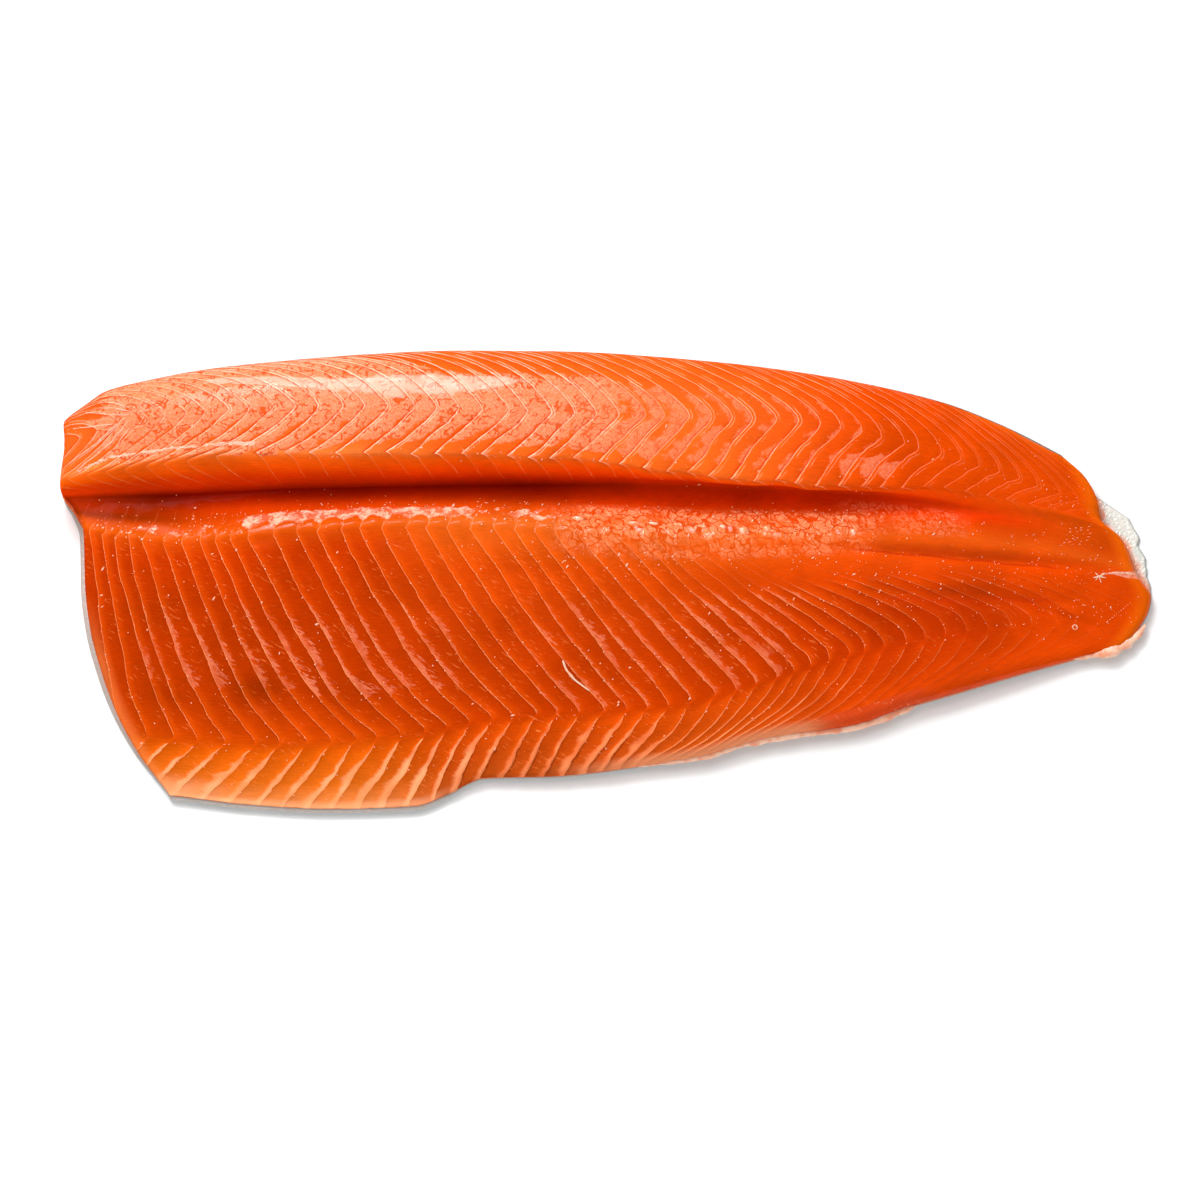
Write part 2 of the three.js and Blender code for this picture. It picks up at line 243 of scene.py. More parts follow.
def flank_septum(n, t):
    """How far from the head cut the flank's sheet number n passes the line t."""
    tip = along(FLANK_SEPTA, n)
    up = np.clip(5 - t, 0, 1)
    groove_side = np.clip(4 - t, 0, 1)
    blunt = 0.03 + 0.2 * rise_between(n, 29, 36)
    swept = -along(FLANK_SWEEP, n) * rounded_power(up, along(FLANK_SWEEP_BEND, n), blunt) + 6 * groove_side
    down = np.clip(t - 5, 0, 1)
    straight = np.sqrt(down**2 + 0.004 + blunt**2) - np.sqrt(0.004 + blunt**2)
    returned = -along(FLANK_RETURN, n) * 21.5 * mix(straight, down**3, 0.5 * rise_between(n, 18, 25))
    fanned = -7 * rise_between(n, 20, 26) * down**3
    wave = 0.8 * mottle(n * 0.9 + 7, t * 3.1, 12) + 0.45 * mottle(n * 1.1, t * 10, 14)
    return tip + swept + returned + fanned + wave


SEGMENT_STEPS = np.array([0, 0.05, 0.12, 0.25, 0.4, 0.55, 0.7, 0.82, 0.92, 0.975])
JITTER = 0.09


def sheet_numbers(first, last):
    whole = np.repeat(np.arange(first, last), len(SEGMENT_STEPS))
    return whole + np.tile(SEGMENT_STEPS, last - first)


def shifted(n, seed):
    """Sheet numbers with each sheet moved a little from its even place."""
    moves = np.random.default_rng(seed).uniform(-JITTER, JITTER, 128)
    i = np.floor(n).astype(int)
    return n + mix(moves[i % 128], moves[(i + 1) % 128], n - i)


LOIN_ROWS = np.concatenate([np.linspace(0, 1, 19)[:-1], np.linspace(1, 2, 17)[:-1], np.linspace(2, 3, 17)])
EDGE_STEPS = np.array([4, 2.8, 1.8, 1.0, 0.4, 0]) / 22
FLANK_ROWS = np.concatenate([np.linspace(3, 4, 21)[1:-1], np.linspace(4, 5, 55)[:-1],
                             np.linspace(5, 6 - EDGE_STEPS[0], 17)[:-1], 6 - EDGE_STEPS])
HEAD_STEPS = np.array([0, 0.15, 0.5, 1.1, 1.8])
TAIL_STEPS = np.array([3.1, 2.1, 1.2, 0.5, 0.15, 0])


def cut_places(t, cut, low, high):
    """Where each row meets a knife cut, found by halving."""
    near, far = np.full(len(t), float(low)), np.full(len(t), float(high))
    for _ in range(40):
        middle = (near + far) / 2
        inside = middle < along(cut, crosswise(t, middle))
        near, far = np.where(inside, middle, near), np.where(inside, far, middle)
    return (near + far) / 2


def row_places(rows, numbers, septum, seed):
    """Points of each row between the two cuts: s, sheet number and the column that each belongs to."""
    places = []
    starts, ends = cut_places(rows, HEAD_CUT, -5, 200), cut_places(rows, TAIL_CUT, 200, 406)
    for t, start, end in zip(rows, starts, ends):
        s = np.maximum.accumulate(septum(shifted(numbers, seed), np.full(len(numbers), t)))
        s = s + np.arange(len(s)) * 1e-6
        inside = np.flatnonzero((s > start + 2.4) & (s < end - 4.0))
        extra = np.concatenate([start + HEAD_STEPS, end - TAIL_STEPS])
        numbers_there = np.interp(extra, s, numbers)
        head = len(HEAD_STEPS)
        places.append((np.concatenate([extra[:head], s[inside], extra[head:]]),
                       np.concatenate([numbers_there[:head], numbers[inside], numbers_there[head:]]),
                       np.concatenate([np.full(head, -1), inside, np.full(len(TAIL_STEPS), -1)]),
                       start, end))
    return places


loin_places = row_places(LOIN_ROWS, sheet_numbers(-10, 46), loin_septum, 21)
flank_places = row_places(FLANK_ROWS, sheet_numbers(-6, 52), flank_septum, 22)
top_rows = np.concatenate([LOIN_ROWS, FLANK_ROWS])
top_places = loin_places + flank_places

counts = [len(p[0]) for p in top_places]
row_of = np.repeat(np.arange(len(counts)), counts)
s = np.concatenate([p[0] for p in top_places])
number = np.concatenate([p[1] for p in top_places])
t = top_rows[row_of]
from_head = s - np.array([p[3] for p in top_places])[row_of]
from_tail = np.array([p[4] for p in top_places])[row_of] - s
y = crosswise(t, s)
smooth_z = flesh_height(t, s, y, from_head, from_tail)
y = y - overhang(t, s)
phase = number - np.floor(number)
on_loin = t <= 3


def s_rise(low, high):
    """0 to 1 along the fish, at every point of the flesh."""
    return rise_between(s, low, high)


def t_rise(low, high):
    """0 to 1 across the fish, at every point of the flesh."""
    return rise_between(t, low, high)


# Distance between neighbouring sheets, measured square to them.
SMALL = 0.01
ahead = np.where(on_loin, loin_septum(number + SMALL, t), flank_septum(number + SMALL, t))
here = np.where(on_loin, loin_septum(number, t), flank_septum(number, t))
t_down = np.where(on_loin, np.minimum(t + SMALL, 3), np.minimum(t + SMALL, 6))
t_up = np.where(on_loin, np.maximum(t - SMALL, 0), np.maximum(t - SMALL, 3))
run = (np.where(on_loin, loin_septum(number, t_down), flank_septum(number, t_down))
       - np.where(on_loin, loin_septum(number, t_up), flank_septum(number, t_up)))
fall = crosswise(t_down, s) - crosswise(t_up, s)
slant = np.abs(fall) / np.hypot(run, fall)
spacing = np.maximum((ahead - here) / SMALL * slant, 0.3)

# Where the sheets show, how wide their torn edges lie over the next segment, and how high each
# segment stands over the one before it.
inner = rise_between(from_head, 0, 3) * rise_between(from_tail, 0, 4)
rearward = s_rise(150, 230)
seams = np.where(on_loin, mix(1.0, mix(0.34, 0.7, s_rise(110, 70)), t_rise(2.04, 2.3)) * t_rise(2.95, 2.6),
    mix(0.15, 1.0, t_rise(mix(3.68, 4.0, rearward), mix(3.84, 4.2, rearward))))
seams = np.where((t > 2.6) & (t < 3.4), seams * np.abs(t - 3), seams)
seams *= np.where(on_loin, mix(1.0, 0.32, s_rise(270, 330)), mix(1.0, 0.36, s_rise(265, 335)))
seams *= mix(1.0, 0.25, s_rise(345, 372)) * np.where(on_loin, mix(0.55, 1.0, s_rise(34, 66)), 1.0)
smooth_back = s_rise(200, 260) * patch(t, 3.2, 4.3, 0.12)
seams *= 1 - 0.9 * smooth_back
own = np.random.default_rng(35).uniform(0.35, 1.35, 128)[np.floor(number).astype(int) % 128]
torn_end = mix(4.68, 4.76, s_rise(50, 130)) + 0.03 * own
membrane = (2.5 * np.maximum(own, 0.75) * patch(s, 36, 140, 14) * t_rise(4.25, 4.62)
            * t_rise(torn_end + 0.025, torn_end)
            + 1.9 * own * patch(s, 184, 262, 14) * patch(t, 4.45, 4.95, 0.16)
            + 3.0 * np.clip(own, 0.7, 1.1) * patch(s, 40, 140, 14) * t_rise(5.02, 5.6)
            + 2.9 * np.clip(own, 0.6, 1.1) * patch(s, 150, 212, 10) * t_rise(5.04, 5.5)
            + 0.5 * patch(s, 215, 290, 10) * t_rise(5.1, 5.6))
ruffle = mix(0.75, 0.95, t_rise(5, 5.2)) + mix(0.6, 0.4, t_rise(5, 5.2)) * mottle(number * 1.7, t * 9, 31)
seam_width = (0.3 + np.where(on_loin, 0, membrane)) * ruffle
paleness = np.where(on_loin, 0.4, mix(0.62, 0.85, t_rise(5.0, 5.3)))
seams *= 0.7 + 0.35 * mottle(number * 1.3, t * 7, 33)
tips = patch(t, 1.93, 2.03, 0.05) * patch(s, 100, 300, 20)
line_width = (np.where(on_loin, mix(0.5, 0.38, s_rise(170, 260)), mix(0.34, 0.25, s_rise(230, 290)))
    + 0.5 * tips)
# Where the wet film lies on the loin; its pale colour there is partly painted sheen.
film_and_sheen_top = mix(0.25, 0.62, s_rise(95, 150))
film_and_sheen_low = mix(1.95, 1.62, s_rise(80, 115))
film_and_sheen = (patch(s, 26, 195, 24) * t_rise(film_and_sheen_top - 0.1, film_and_sheen_top + 0.15) * mix(1.0, 0.68, t_rise(1.1, 1.45))
    * t_rise(film_and_sheen_low + 0.3, film_and_sheen_low))
film_and_sheen = np.maximum(film_and_sheen, mix(0.76, 0.3, s_rise(185, 275)) * patch(s, 190, 302, 14) * patch(t, 0.8, 1.75, 0.2))
film_and_sheen += 0.3 * patch(s, 288, 306, 7) * patch(t, 1.55, 1.8, 0.1)
wet = np.where(on_loin, mix(0.62, 0.4, s_rise(140, 230)) * t_rise(2.25, 1.9) * s_rise(8, 60),
    mix(0.04, 0.8, patch(t, 3.5, 3.8, 0.12) * s_rise(30, 75)))
wet = mix(wet, 0.35, s_rise(280, 330))
crinkle = (patch(s, 194, 285, 18) * patch(t, 3.44, 4.07, 0.06) * mix(1.0, 0.6, t_rise(3.8, 3.95))
    + 0.4 * patch(s, 292, 326, 10) * patch(t, 3.2, 3.75, 0.12))
# Where the painted highlight lies on the slope above the flank's segment heads, and the line across that it
# follows.
ridge_highlight = mix(0.42, 1.0, s_rise(62, 76)) * mix(1.0, 0.5, s_rise(140, 158)) * patch(s, 18, 186, 8)
highlight_across = t - 0.16 * s_rise(85, 45)
shingle = np.where(on_loin, mix(0.32, 0.14, t_rise(1.9, 2.2)) * mix(0.3, 1.0, t_rise(0.8, 1.1))
    * t_rise(3.0, 2.7), mix(0.12, 0.4, t_rise(3.8, 4.25)) * t_rise(3.1, 3.4))
shade = np.where(on_loin, mix(0.45, 0.2, s_rise(180, 300)) * t_rise(2.6, 2.0),
    mix(0.62, 0.22, s_rise(280, 335)) * t_rise(3.8, 4.1))
shade *= (1 - smooth_back) * s_rise(392, 360) * mix(1.0, 1.5, t_rise(5.05, 5.3) * s_rise(225, 200))
shade *= mix(1.0, 0.5, t_rise(5.05, 5.3) * s_rise(215, 240))
seams *= mix(1.0, 0.15, t_rise(5.45, 5.75) * s_rise(258, 285))
shingle *= (mix(1.0, 0.7, t_rise(5.1, 5.4)) * mix(1.0, 0.55, t_rise(5.1, 5.4) * patch(s, 220, 300, 15))
    * (1 - 0.9 * smooth_back) * mix(1.0, 0.25, s_rise(280, 350)) * inner)
shingle *= np.clip(spacing / 5, 0.1, 1) * mix(1, 0.4, t_rise(5.85, 6.0))
head_up = np.where(phase < 0.05, mix(0.45, 1.0, phase / 0.05), (1 - phase) ** 1.15)
tail_up = np.where(phase > 0.95, mix(1.0, 0.45, (phase - 0.95) / 0.05), phase**1.15)
step = mix(head_up, tail_up, t_rise(5.02, 5.3))
round_top = np.sin(np.pi * phase)
heads = 0.45 * round_top ** 1.2 * patch(highlight_across, 3.72, 3.9, 0.07) * patch(s, 20, 190, 20)
puffs = 0.28 * round_top ** 0.8 * patch(t, 1.15, 1.95, 0.2) * patch(s, 60, 300, 30)
scallops = 0.5 * round_top * patch(t, 2.02, 2.25, 0.08) * patch(s, 16, 80, 10)
folds = 0.7 * tail_up * patch(s, 146, 205, 8) * t_rise(5.3, 5.8)
bumps = 0.22 * mottle(s / 9, y / 7, 41) + 0.12 * mottle(s / 4, y / 4, 42)
wrinkles = crinkle * 0.3 * (mottle(s / 2.6 + y / 4, y / 2.2, 43) + 0.6 * mottle(s / 1.4, y / 1.3, 44))
# Darker at the head end between groove and ridge, and a little on the flank near the tail. The dark spot over
# the hollow low on the belly is painted shade.
tone_and_hollow_shade = (1 - 0.5 * patch(s, -10, 28, 34) * patch(t, 3.02, 3.5, 0.2)
        - 0.22 * np.exp(-(((s - 73) / 9) ** 2 + ((y + 41) / 5) ** 2))
        - 0.05 * patch(t, 4.5, 4.9, 0.15) * patch(s, 292, 345, 18))
# Where the painted highlight band lies on the loin's shoulder: along s, its middle line t and its half-width.
SHEEN_BAND = [(40, 0.55, 0.05), (60, 0.61, 0.07), (90, 0.72, 0.09), (108, 0.78, 0.11), (120, 0.78, 0.16),
              (138, 0.78, 0.16), (150, 0.76, 0.11), (168, 0.72, 0.07), (185, 0.72, 0.05)]
band_middle = along([(row[0], row[1]) for row in SHEEN_BAND], s)
band_half = along([(row[0], row[2]) for row in SHEEN_BAND], s)
sheen = ((1 - np.abs(t - band_middle) / band_half).clip(-1, 1) * patch(s, 60, 160, 24) - 1
    + patch(s, 60, 160, 24))
hollow = 1.1 * np.exp(-(((s - 72) / 9) ** 2 + ((y + 44) / 6) ** 2))
relief = (shingle * (step - 0.5) + heads + puffs + scallops + folds
    + (bumps * mix(0.8, 1, t_rise(3, 4)) + wrinkles - hollow) * inner)
z = smooth_z + relief * t_rise(0, 0.15)
THICKEST, ROOM_ABOVE, THINNEST = 28.4, 0.5, 0.6
z = np.minimum(z, THICKEST + ROOM_ABOVE)
z = np.maximum(z, UNDER_FLESH + belly_lift(s, y) + THINNEST)


def seam_between(left, right, spots):
    """Triangles between two runs of points that lie side by side, the first nearer to the back."""
    made, i, j = [], 0, 0
    while i < len(left) - 1 or j < len(right) - 1:
        if j == len(right) - 1 or (i < len(left) - 1 and
                                   np.sum((spots[left[i + 1]] - spots[right[j]]) ** 2)
                                   <= np.sum((spots[left[i]] - spots[right[j + 1]]) ** 2)):
            made.append((left[i], right[j], left[i + 1]))
            i += 1
        else:
            made.append((left[i], right[j], right[j + 1]))
            j += 1
    return made


def join_rows(a, b, columns_a, columns_b, spots):
    """Faces between two rows: along the columns they share, and by nearness at the ends."""
    shared, in_a, in_b = np.intersect1d(columns_a, columns_b, return_indices=True)
    keep = shared >= 0
    in_a, in_b = in_a[keep], in_b[keep]
    if len(in_a) < 2:
        return seam_between(a, b, spots)
    quads = list(zip(a[in_a[:-1]], b[in_b[:-1]], b[in_b[1:]], a[in_a[1:]]))
    head = seam_between(a[: in_a[0] + 1], b[: in_b[0] + 1], spots)
    tail = seam_between(a[in_a[-1]:], b[in_b[-1]:], spots)
    return quads + head + tail


first = np.concatenate([[0], np.cumsum(counts)])
spots = np.stack([s, y, z], axis=1)
row_points = [np.arange(first[r], first[r + 1]) for r in range(len(counts))]
faces = []
for r in range(len(counts) - 1):
    if r + 1 == len(LOIN_ROWS):
        faces += seam_between(row_points[r], row_points[r + 1], spots)
    else:
        faces += join_rows(row_points[r], row_points[r + 1], top_places[r][2], top_places[r + 1][2], spots)


def under_rows(depth, past_belly, roll_rows, flat_rows, lift_rows):
    """Rows of the underside, a given depth inside the skin's outer face: functions of s for y and z."""
    def roll(angle):
        def row(at):
            edge, crest = along(BACK_EDGE, at), along(CREST_HEIGHT, at)
            wide, high = ROLL_WIDTH_SHARE * crest, ROLL_HEIGHT_SHARE * crest
            return edge - wide + (wide - depth) * np.sin(angle), high - (high - depth) * np.cos(angle)
        return row

    def flat(share, from_belly):
        def row(at):
            start = along(BACK_EDGE, at) - ROLL_WIDTH_SHARE * along(CREST_HEIGHT, at)
            there = mix(start, along(BELLY_EDGE, at) + BELLY_LIFT_WIDTH, share) if from_belly is None \
                else along(BELLY_EDGE, at) + from_belly(at)
            return there, depth + belly_lift(at, there)
        return row

    rows = [roll((1 - i / roll_rows) * np.pi / 2) for i in range(roll_rows)]
    rows += [flat(i / flat_rows, None) for i in range(flat_rows + 1)]
    rows += [flat(0, lambda at, i=i: BELLY_LIFT_WIDTH * (1 - i / lift_rows)) for i in range(1, lift_rows)]
    return rows + [flat(0, lambda at: -along(past_belly, at))]


def row_between_cuts(row, head, tail, steps):
    """Stations of one underside row between its two ends."""
    ends = []
    for low, high, cut in ((-6, 200, head), (200, 408, tail)):
        near, far = low, high
        for _ in range(40):
            middle = (near + far) / 2
            if middle < cut(row(np.array([middle]))[0])[0]:
                near = middle
            else:
                far = middle
        ends.append((near + far) / 2)
    at = ends[0] + (ends[1] - ends[0]) * steps
    row_y, row_z = row(at)
    return np.stack([at, row_y, row_z], axis=1)


# The walls under the cut edges, in a few rows so that they bulge as cut muscle does, and the underside.
WALL_LEVELS = [0.8, 0.55, 0.3]


def under_height(depth, at, y):
    """Height of the inner face of the skin, or of anything a given depth in from its outer face."""
    high, wide = ROLL_HEIGHT_SHARE * along(CREST_HEIGHT, at), ROLL_WIDTH_SHARE * along(CREST_HEIGHT, at)
    sine = np.clip((y - along(BACK_EDGE, at) + wide) / (wide - depth), 0, 1)
    return np.maximum(high - (high - depth) * np.sqrt(1 - sine * sine), depth) + belly_lift(at, y)


def wall_down(loop, outward, seed):
    """Rows of points below one cut edge, from the edge towards the underside."""
    global spots, source
    runs, top = [loop], spots[loop]
    base = np.minimum(under_height(UNDER_FLESH, top[:, 0], top[:, 1]), top[:, 2])
    for level in WALL_LEVELS:
        points = top.copy()
        points[:, 2] = base + (top[:, 2] - base) * level
        swell = 0.35 * np.sin(np.pi * level) * np.clip((top[:, 2] - base) / 8, 0, 1)
        swell = swell + 0.2 * mottle(top[:, 0] / 3 + top[:, 1] / 3, points[:, 2] / 2.5, seed)
        ends = np.minimum(np.arange(len(loop)), np.arange(len(loop))[::-1])
        points[:, :2] += outward * (swell * np.clip(ends / 4, 0, 1))[:, None]
        runs.append(np.arange(len(spots), len(spots) + len(points)))
        spots, source = np.concatenate([spots, points]), np.concatenate([source, loop])
    return runs


def quads_between(a, b):
    return list(zip(a[:-1], b[:-1], b[1:], a[1:]))


source = np.arange(len(spots))
top_count = len(spots)
first_points = np.array([row[0] for row in row_points])
last_points = np.array([row[-1] for row in row_points])
head_wall = wall_down(first_points, np.array([-0.5, 0.0]), 51)
tail_wall = wall_down(last_points, np.array([0.3, 0.0]), 52)
belly_wall = wall_down(row_points[-1], np.array([0.0, -0.6]), 53)
for upper, lower in zip(head_wall[:-1], head_wall[1:]):
    faces += quads_between(upper, lower)
for upper, lower in zip(tail_wall[:-1], tail_wall[1:]):
    faces += [face[::-1] for face in quads_between(upper, lower)]
for upper, lower in zip(belly_wall[:-1], belly_wall[1:]):
    faces += quads_between(upper, lower)

under = []
for row in under_rows(UNDER_FLESH, [(0, 0), (LENGTH, 0)], 8, 12, 5)[1:]:
    points = row_between_cuts(row, lambda there: along(HEAD_CUT, there), lambda there: along(TAIL_CUT, there),
                              np.linspace(0, 1, 81))
    under.append(np.arange(len(spots), len(spots) + len(points)))
    spots, source = np.concatenate([spots, points]), np.concatenate([source, np.full(len(points), 0)])
for a, b in zip(under[:-1], under[1:]):
    faces += [face[::-1] for face in quads_between(a, b)]
head_under = np.array([row_points[0][0]] + [row[0] for row in under])
tail_under = np.array([row_points[0][-1]] + [row[-1] for row in under])
faces += seam_between(under[0], row_points[0], spots)
faces += seam_between(belly_wall[-1], under[-1], spots)
faces += seam_between(head_wall[-1], head_under, spots)
faces += seam_between(tail_under, tail_wall[-1], spots)


def metres(points):
    return (points - np.array([LENGTH / 2, 0, 0])) * MM


def new_piece(name, points, faces, values=None):
    """A smooth-shaded mesh object from points in millimetres, with any values that vary over it."""
    mesh = bpy.data.meshes.new(name)
    mesh.from_pydata(metres(points).tolist(), [], [tuple(int(i) for i in face) for face in faces])
    for key, numbers in (values or {}).items():
        if numbers.ndim == 2:
            mesh.attributes.new(key, "FLOAT_VECTOR", "POINT").data.foreach_set("vector", numbers.ravel())
        else:
            mesh.attributes.new(key, "FLOAT", "POINT").data.foreach_set("value", numbers)
    weld = bmesh.new()
    weld.from_mesh(mesh)
    bmesh.ops.remove_doubles(weld, verts=weld.verts, dist=2e-6)
    weld.to_mesh(mesh)
    weld.free()
    mesh.validate()
    mesh.shade_smooth()
    piece = bpy.data.objects.new(name, mesh)
    bpy.context.scene.collection.objects.link(piece)
    return piece


FRAYED_SEAM = [(3, 2.02), (10, 1.92), (19, 1.81), (81, 1.81), (90, 1.94), (103, 2.1)]
fray = np.exp(-((t - along(FRAYED_SEAM, s)) / 0.07) ** 2) * patch(s, 8, 68, 7) + 0.5 * np.exp(
    -((t - along(FRAYED_SEAM, s)) / 0.06) ** 2) * patch(s, 68, 100, 5)

# What the material needs to know at each point.
ARC = np.cumsum([0, 31, 17, 20, 26, 74, 23])
values = {"septum": number[source], "spacing": spacing[source], "seams": seams[source],
    "seam_width": seam_width[source], "film_and_sheen": film_and_sheen[source], "wet": wet[source], "shade": shade[source],
    "paleness": paleness[source], "crinkle": crinkle[source], "line_width": line_width[source],
    "ridge_highlight": ridge_highlight[source], "highlight_across": highlight_across[source], "across": t[source], "along": s[source],
    "grain": np.stack([number * 8, np.interp(t, np.arange(7), ARC), np.zeros(len(t))], axis=1)[source],
    "fray": fray[source], "near_head": rise_between(from_head, 6.0, 0.5)[source],
    "thin_tail": np.maximum(rise_between(from_tail, 9, 1), t_rise(0.5, 0.1) * s_rise(320, 345))[source],
    "tone_and_hollow_shade": tone_and_hollow_shade[source], "sheen": sheen[source], "cut": (np.arange(len(source)) >= top_count).astype(float)}
flesh = new_piece("flesh", spots, faces, values)


class Number:
    """A number that a material works out at every point, open to plain arithmetic."""

    def __init__(self, recipe, socket):
        self.recipe, self.socket = recipe, socket

    def __add__(self, other):
        return self.recipe.sum("ADD", self, other)

    def __radd__(self, other):
        return self.recipe.sum("ADD", other, self)

    def __sub__(self, other):
        return self.recipe.sum("SUBTRACT", self, other)

    def __rsub__(self, other):
        return self.recipe.sum("SUBTRACT", other, self)

    def __mul__(self, other):
        return self.recipe.sum("MULTIPLY", self, other)

    def __rmul__(self, other):
        return self.recipe.sum("MULTIPLY", other, self)

    def __truediv__(self, other):
        return self.recipe.sum("DIVIDE", self, other)

    def __pow__(self, power):
        return self.recipe.sum("POWER", self, power)

    def __abs__(self):
        return self.recipe.sum("ABSOLUTE", self)


class Recipe:
    """Lays down the nodes of one material or group, in plain steps."""

    def __init__(self, tree):
        self.tree = tree

    def node(self, kind, inputs=None, **settings):
        made = self.tree.nodes.new(kind)
        for key, value in settings.items():
            setattr(made, key, value)
        for key, value in (inputs or {}).items():
            self.feed(made.inputs[key], value)
        return made

    def feed(self, socket, value):
        if isinstance(value, Number):
            value = value.socket
        if isinstance(value, bpy.types.NodeSocket):
            self.tree.links.new(value, socket)
        elif value is not None:
            socket.default_value = value

    def sum(self, operation, a, b=None, c=None):
        made = self.node("ShaderNodeMath", {0: a, 1: b, 2: c}, operation=operation)
        return Number(self, made.outputs[0])

    def times(self, a, b):
        return self.sum("MULTIPLY", a, b)

    def between(self, share, a, b):
        """A number part of the way from a to b."""
        made = self.node("ShaderNodeMix", {0: share, 2: a, 3: b}, data_type="FLOAT")
        return Number(self, made.outputs[0])

    def fade(self, value, low, high, to_low=0.0, to_high=1.0):
        """Smooth change from one number to another as the value goes from low to high."""
        made = self.node("ShaderNodeMapRange", {0: value, 1: low, 2: high, 3: to_low, 4: to_high},
                         interpolation_type="SMOOTHSTEP")
        return Number(self, made.outputs[0])

    def blend(self, share, a, b, mode="MIX"):
        made = self.node("ShaderNodeMix", data_type="RGBA", blend_type=mode)
        self.feed(made.inputs[0], share)
        self.feed(made.inputs[6], a)
        self.feed(made.inputs[7], b)
        return made.outputs[2]

    def value(self, name):
        return Number(self, self.node("ShaderNodeAttribute", attribute_name=name).outputs["Fac"])

    def vector(self, name):
        return self.node("ShaderNodeAttribute", attribute_name=name).outputs["Vector"]

    def stretched(self, vector, scale):
        return self.node("ShaderNodeVectorMath", {0: vector, 1: scale}, operation="MULTIPLY").outputs[0]

    def noise(self, vector, scale, detail=2.0, roughness=0.5, distortion=0.0):
        made = self.node("ShaderNodeTexNoise", {"Vector": vector, "Scale": scale, "Detail": detail,
                                                "Roughness": roughness, "Distortion": distortion})
        return Number(self, made.outputs[0])

    def warped(self, vector, scale, reach):
        """The same places pushed about by soft noise."""
        push = self.node("ShaderNodeTexNoise",
            {"Vector": vector, "Scale": scale, "Detail": 1.0}).outputs["Color"]
        push = self.node("ShaderNodeVectorMath", {0: push, 1: (0.5, 0.5, 0.5)},
            operation="SUBTRACT").outputs[0]
        push = self.stretched(push, (reach, reach, reach))
        return self.node("ShaderNodeVectorMath", {0: vector, 1: push}, operation="ADD").outputs[0]

    def colours(self, share, stops):
        made = self.node("ShaderNodeValToRGB", {0: share})
        ramp = made.color_ramp
        while len(ramp.elements) < len(stops):
            ramp.elements.new(0.5)
        for element, (place, tone) in zip(ramp.elements, stops):
            element.position, element.color = place, tone
        return made.outputs[0]


def tone(red, green, blue):
    """A screen colour, 0 to 255, as the light share that a shader takes."""
    def light(part):
        part /= 255
        return part / 12.92 if part <= 0.04045 else ((part + 0.055) / 1.055) ** 2.4
    return (light(red), light(green), light(blue), 1)


def new_material(name):
    material = bpy.data.materials.new(name)
    material.use_nodes = True
    material.node_tree.nodes.clear()
    return material, Recipe(material.node_tree)


raw_flesh, mixer = new_material("raw orange muscle")
place = mixer.node("ShaderNodeTexCoord").outputs["Object"]
across, lengthwise = mixer.value("across"), mixer.value("along")
across_share = across * (1 / 6)
grain = mixer.vector("grain")
fine_wander = mixer.noise(place, 420, 2) - 0.5
sheet = mixer.value("septum") + fine_wander * 0.1
phase_there = mixer.sum("FRACT", sheet)
from_sheet = phase_there * mixer.value("spacing")
to_next = (1.0 - phase_there) * mixer.value("spacing")
lower_limb = mixer.fade(across, 4.98, 5.14)
proud_side = mixer.between(lower_limb, from_sheet, to_next)
sunk_side = mixer.between(lower_limb, to_next, from_sheet)
downhill = mixer.between(lower_limb, phase_there, 1.0 - phase_there)

# Tones across the fish at the head end, the middle and the tail end. The near-black stops in the groove are
# painted shade.
forward = mixer.colours(across_share, [
    (0.0, tone(222, 66, 10)), (0.07, tone(224, 74, 16)), (0.17, tone(228, 88, 27)),
    (0.3, tone(230, 98, 32)), (0.335, tone(244, 122, 52)), (0.365, tone(248, 102, 20)),
    (0.4, tone(246, 88, 5)), (0.43, tone(226, 62, 2)), (0.465, tone(212, 48, 1)), (0.5, tone(134, 12, 0)),
    (0.525, tone(156, 28, 1)), (0.56, tone(186, 50, 2)), (0.6, tone(190, 62, 4)), (0.65, tone(206, 80, 8)),
    (0.68, tone(182, 50, 1)), (0.72, tone(172, 48, 1)), (0.8, tone(172, 50, 1)), (0.825, tone(190, 60, 2)),
    (0.87, tone(210, 86, 6)), (0.94, tone(216, 100, 20)), (0.99, tone(230, 128, 62))])
middle = mixer.colours(across_share, [
    (0.0, tone(224, 76, 10)), (0.17, tone(228, 90, 26)), (0.3, tone(230, 92, 24)),
    (0.34, tone(232, 98, 28)), (0.375, tone(248, 92, 8)), (0.41, tone(244, 74, 2)),
    (0.45, tone(208, 46, 1)), (0.5, tone(132, 12, 0)), (0.53, tone(172, 36, 1)), (0.58, tone(194, 66, 6)),
    (0.64, tone(206, 92, 26)), (0.67, tone(206, 82, 14)), (0.7, tone(196, 64, 5)), (0.76, tone(182, 54, 3)),
    (0.83, tone(184, 54, 1)), (0.87, tone(200, 68, 4)), (0.93, tone(184, 66, 8)), (1.0, tone(184, 74, 18))])
rear = mixer.colours(across_share, [
    (0.0, tone(206, 66, 3)), (0.17, tone(204, 64, 2)), (0.33, tone(212, 66, 3)), (0.38, tone(236, 82, 6)),
    (0.45, tone(244, 80, 4)), (0.49, tone(234, 66, 3)), (0.52, tone(214, 54, 2)), (0.56, tone(200, 62, 5)),
    (0.64, tone(208, 78, 12)), (0.68, tone(214, 72, 6)), (0.73, tone(206, 60, 2)), (0.78, tone(182, 48, 1)),
    (0.83, tone(186, 50, 1)), (0.9, tone(194, 56, 1)), (1.0, tone(206, 62, 3))])
base = mixer.blend(mixer.fade(lengthwise, 105, 150), forward, middle)
base = mixer.blend(mixer.fade(lengthwise, 230, 310), base, rear)
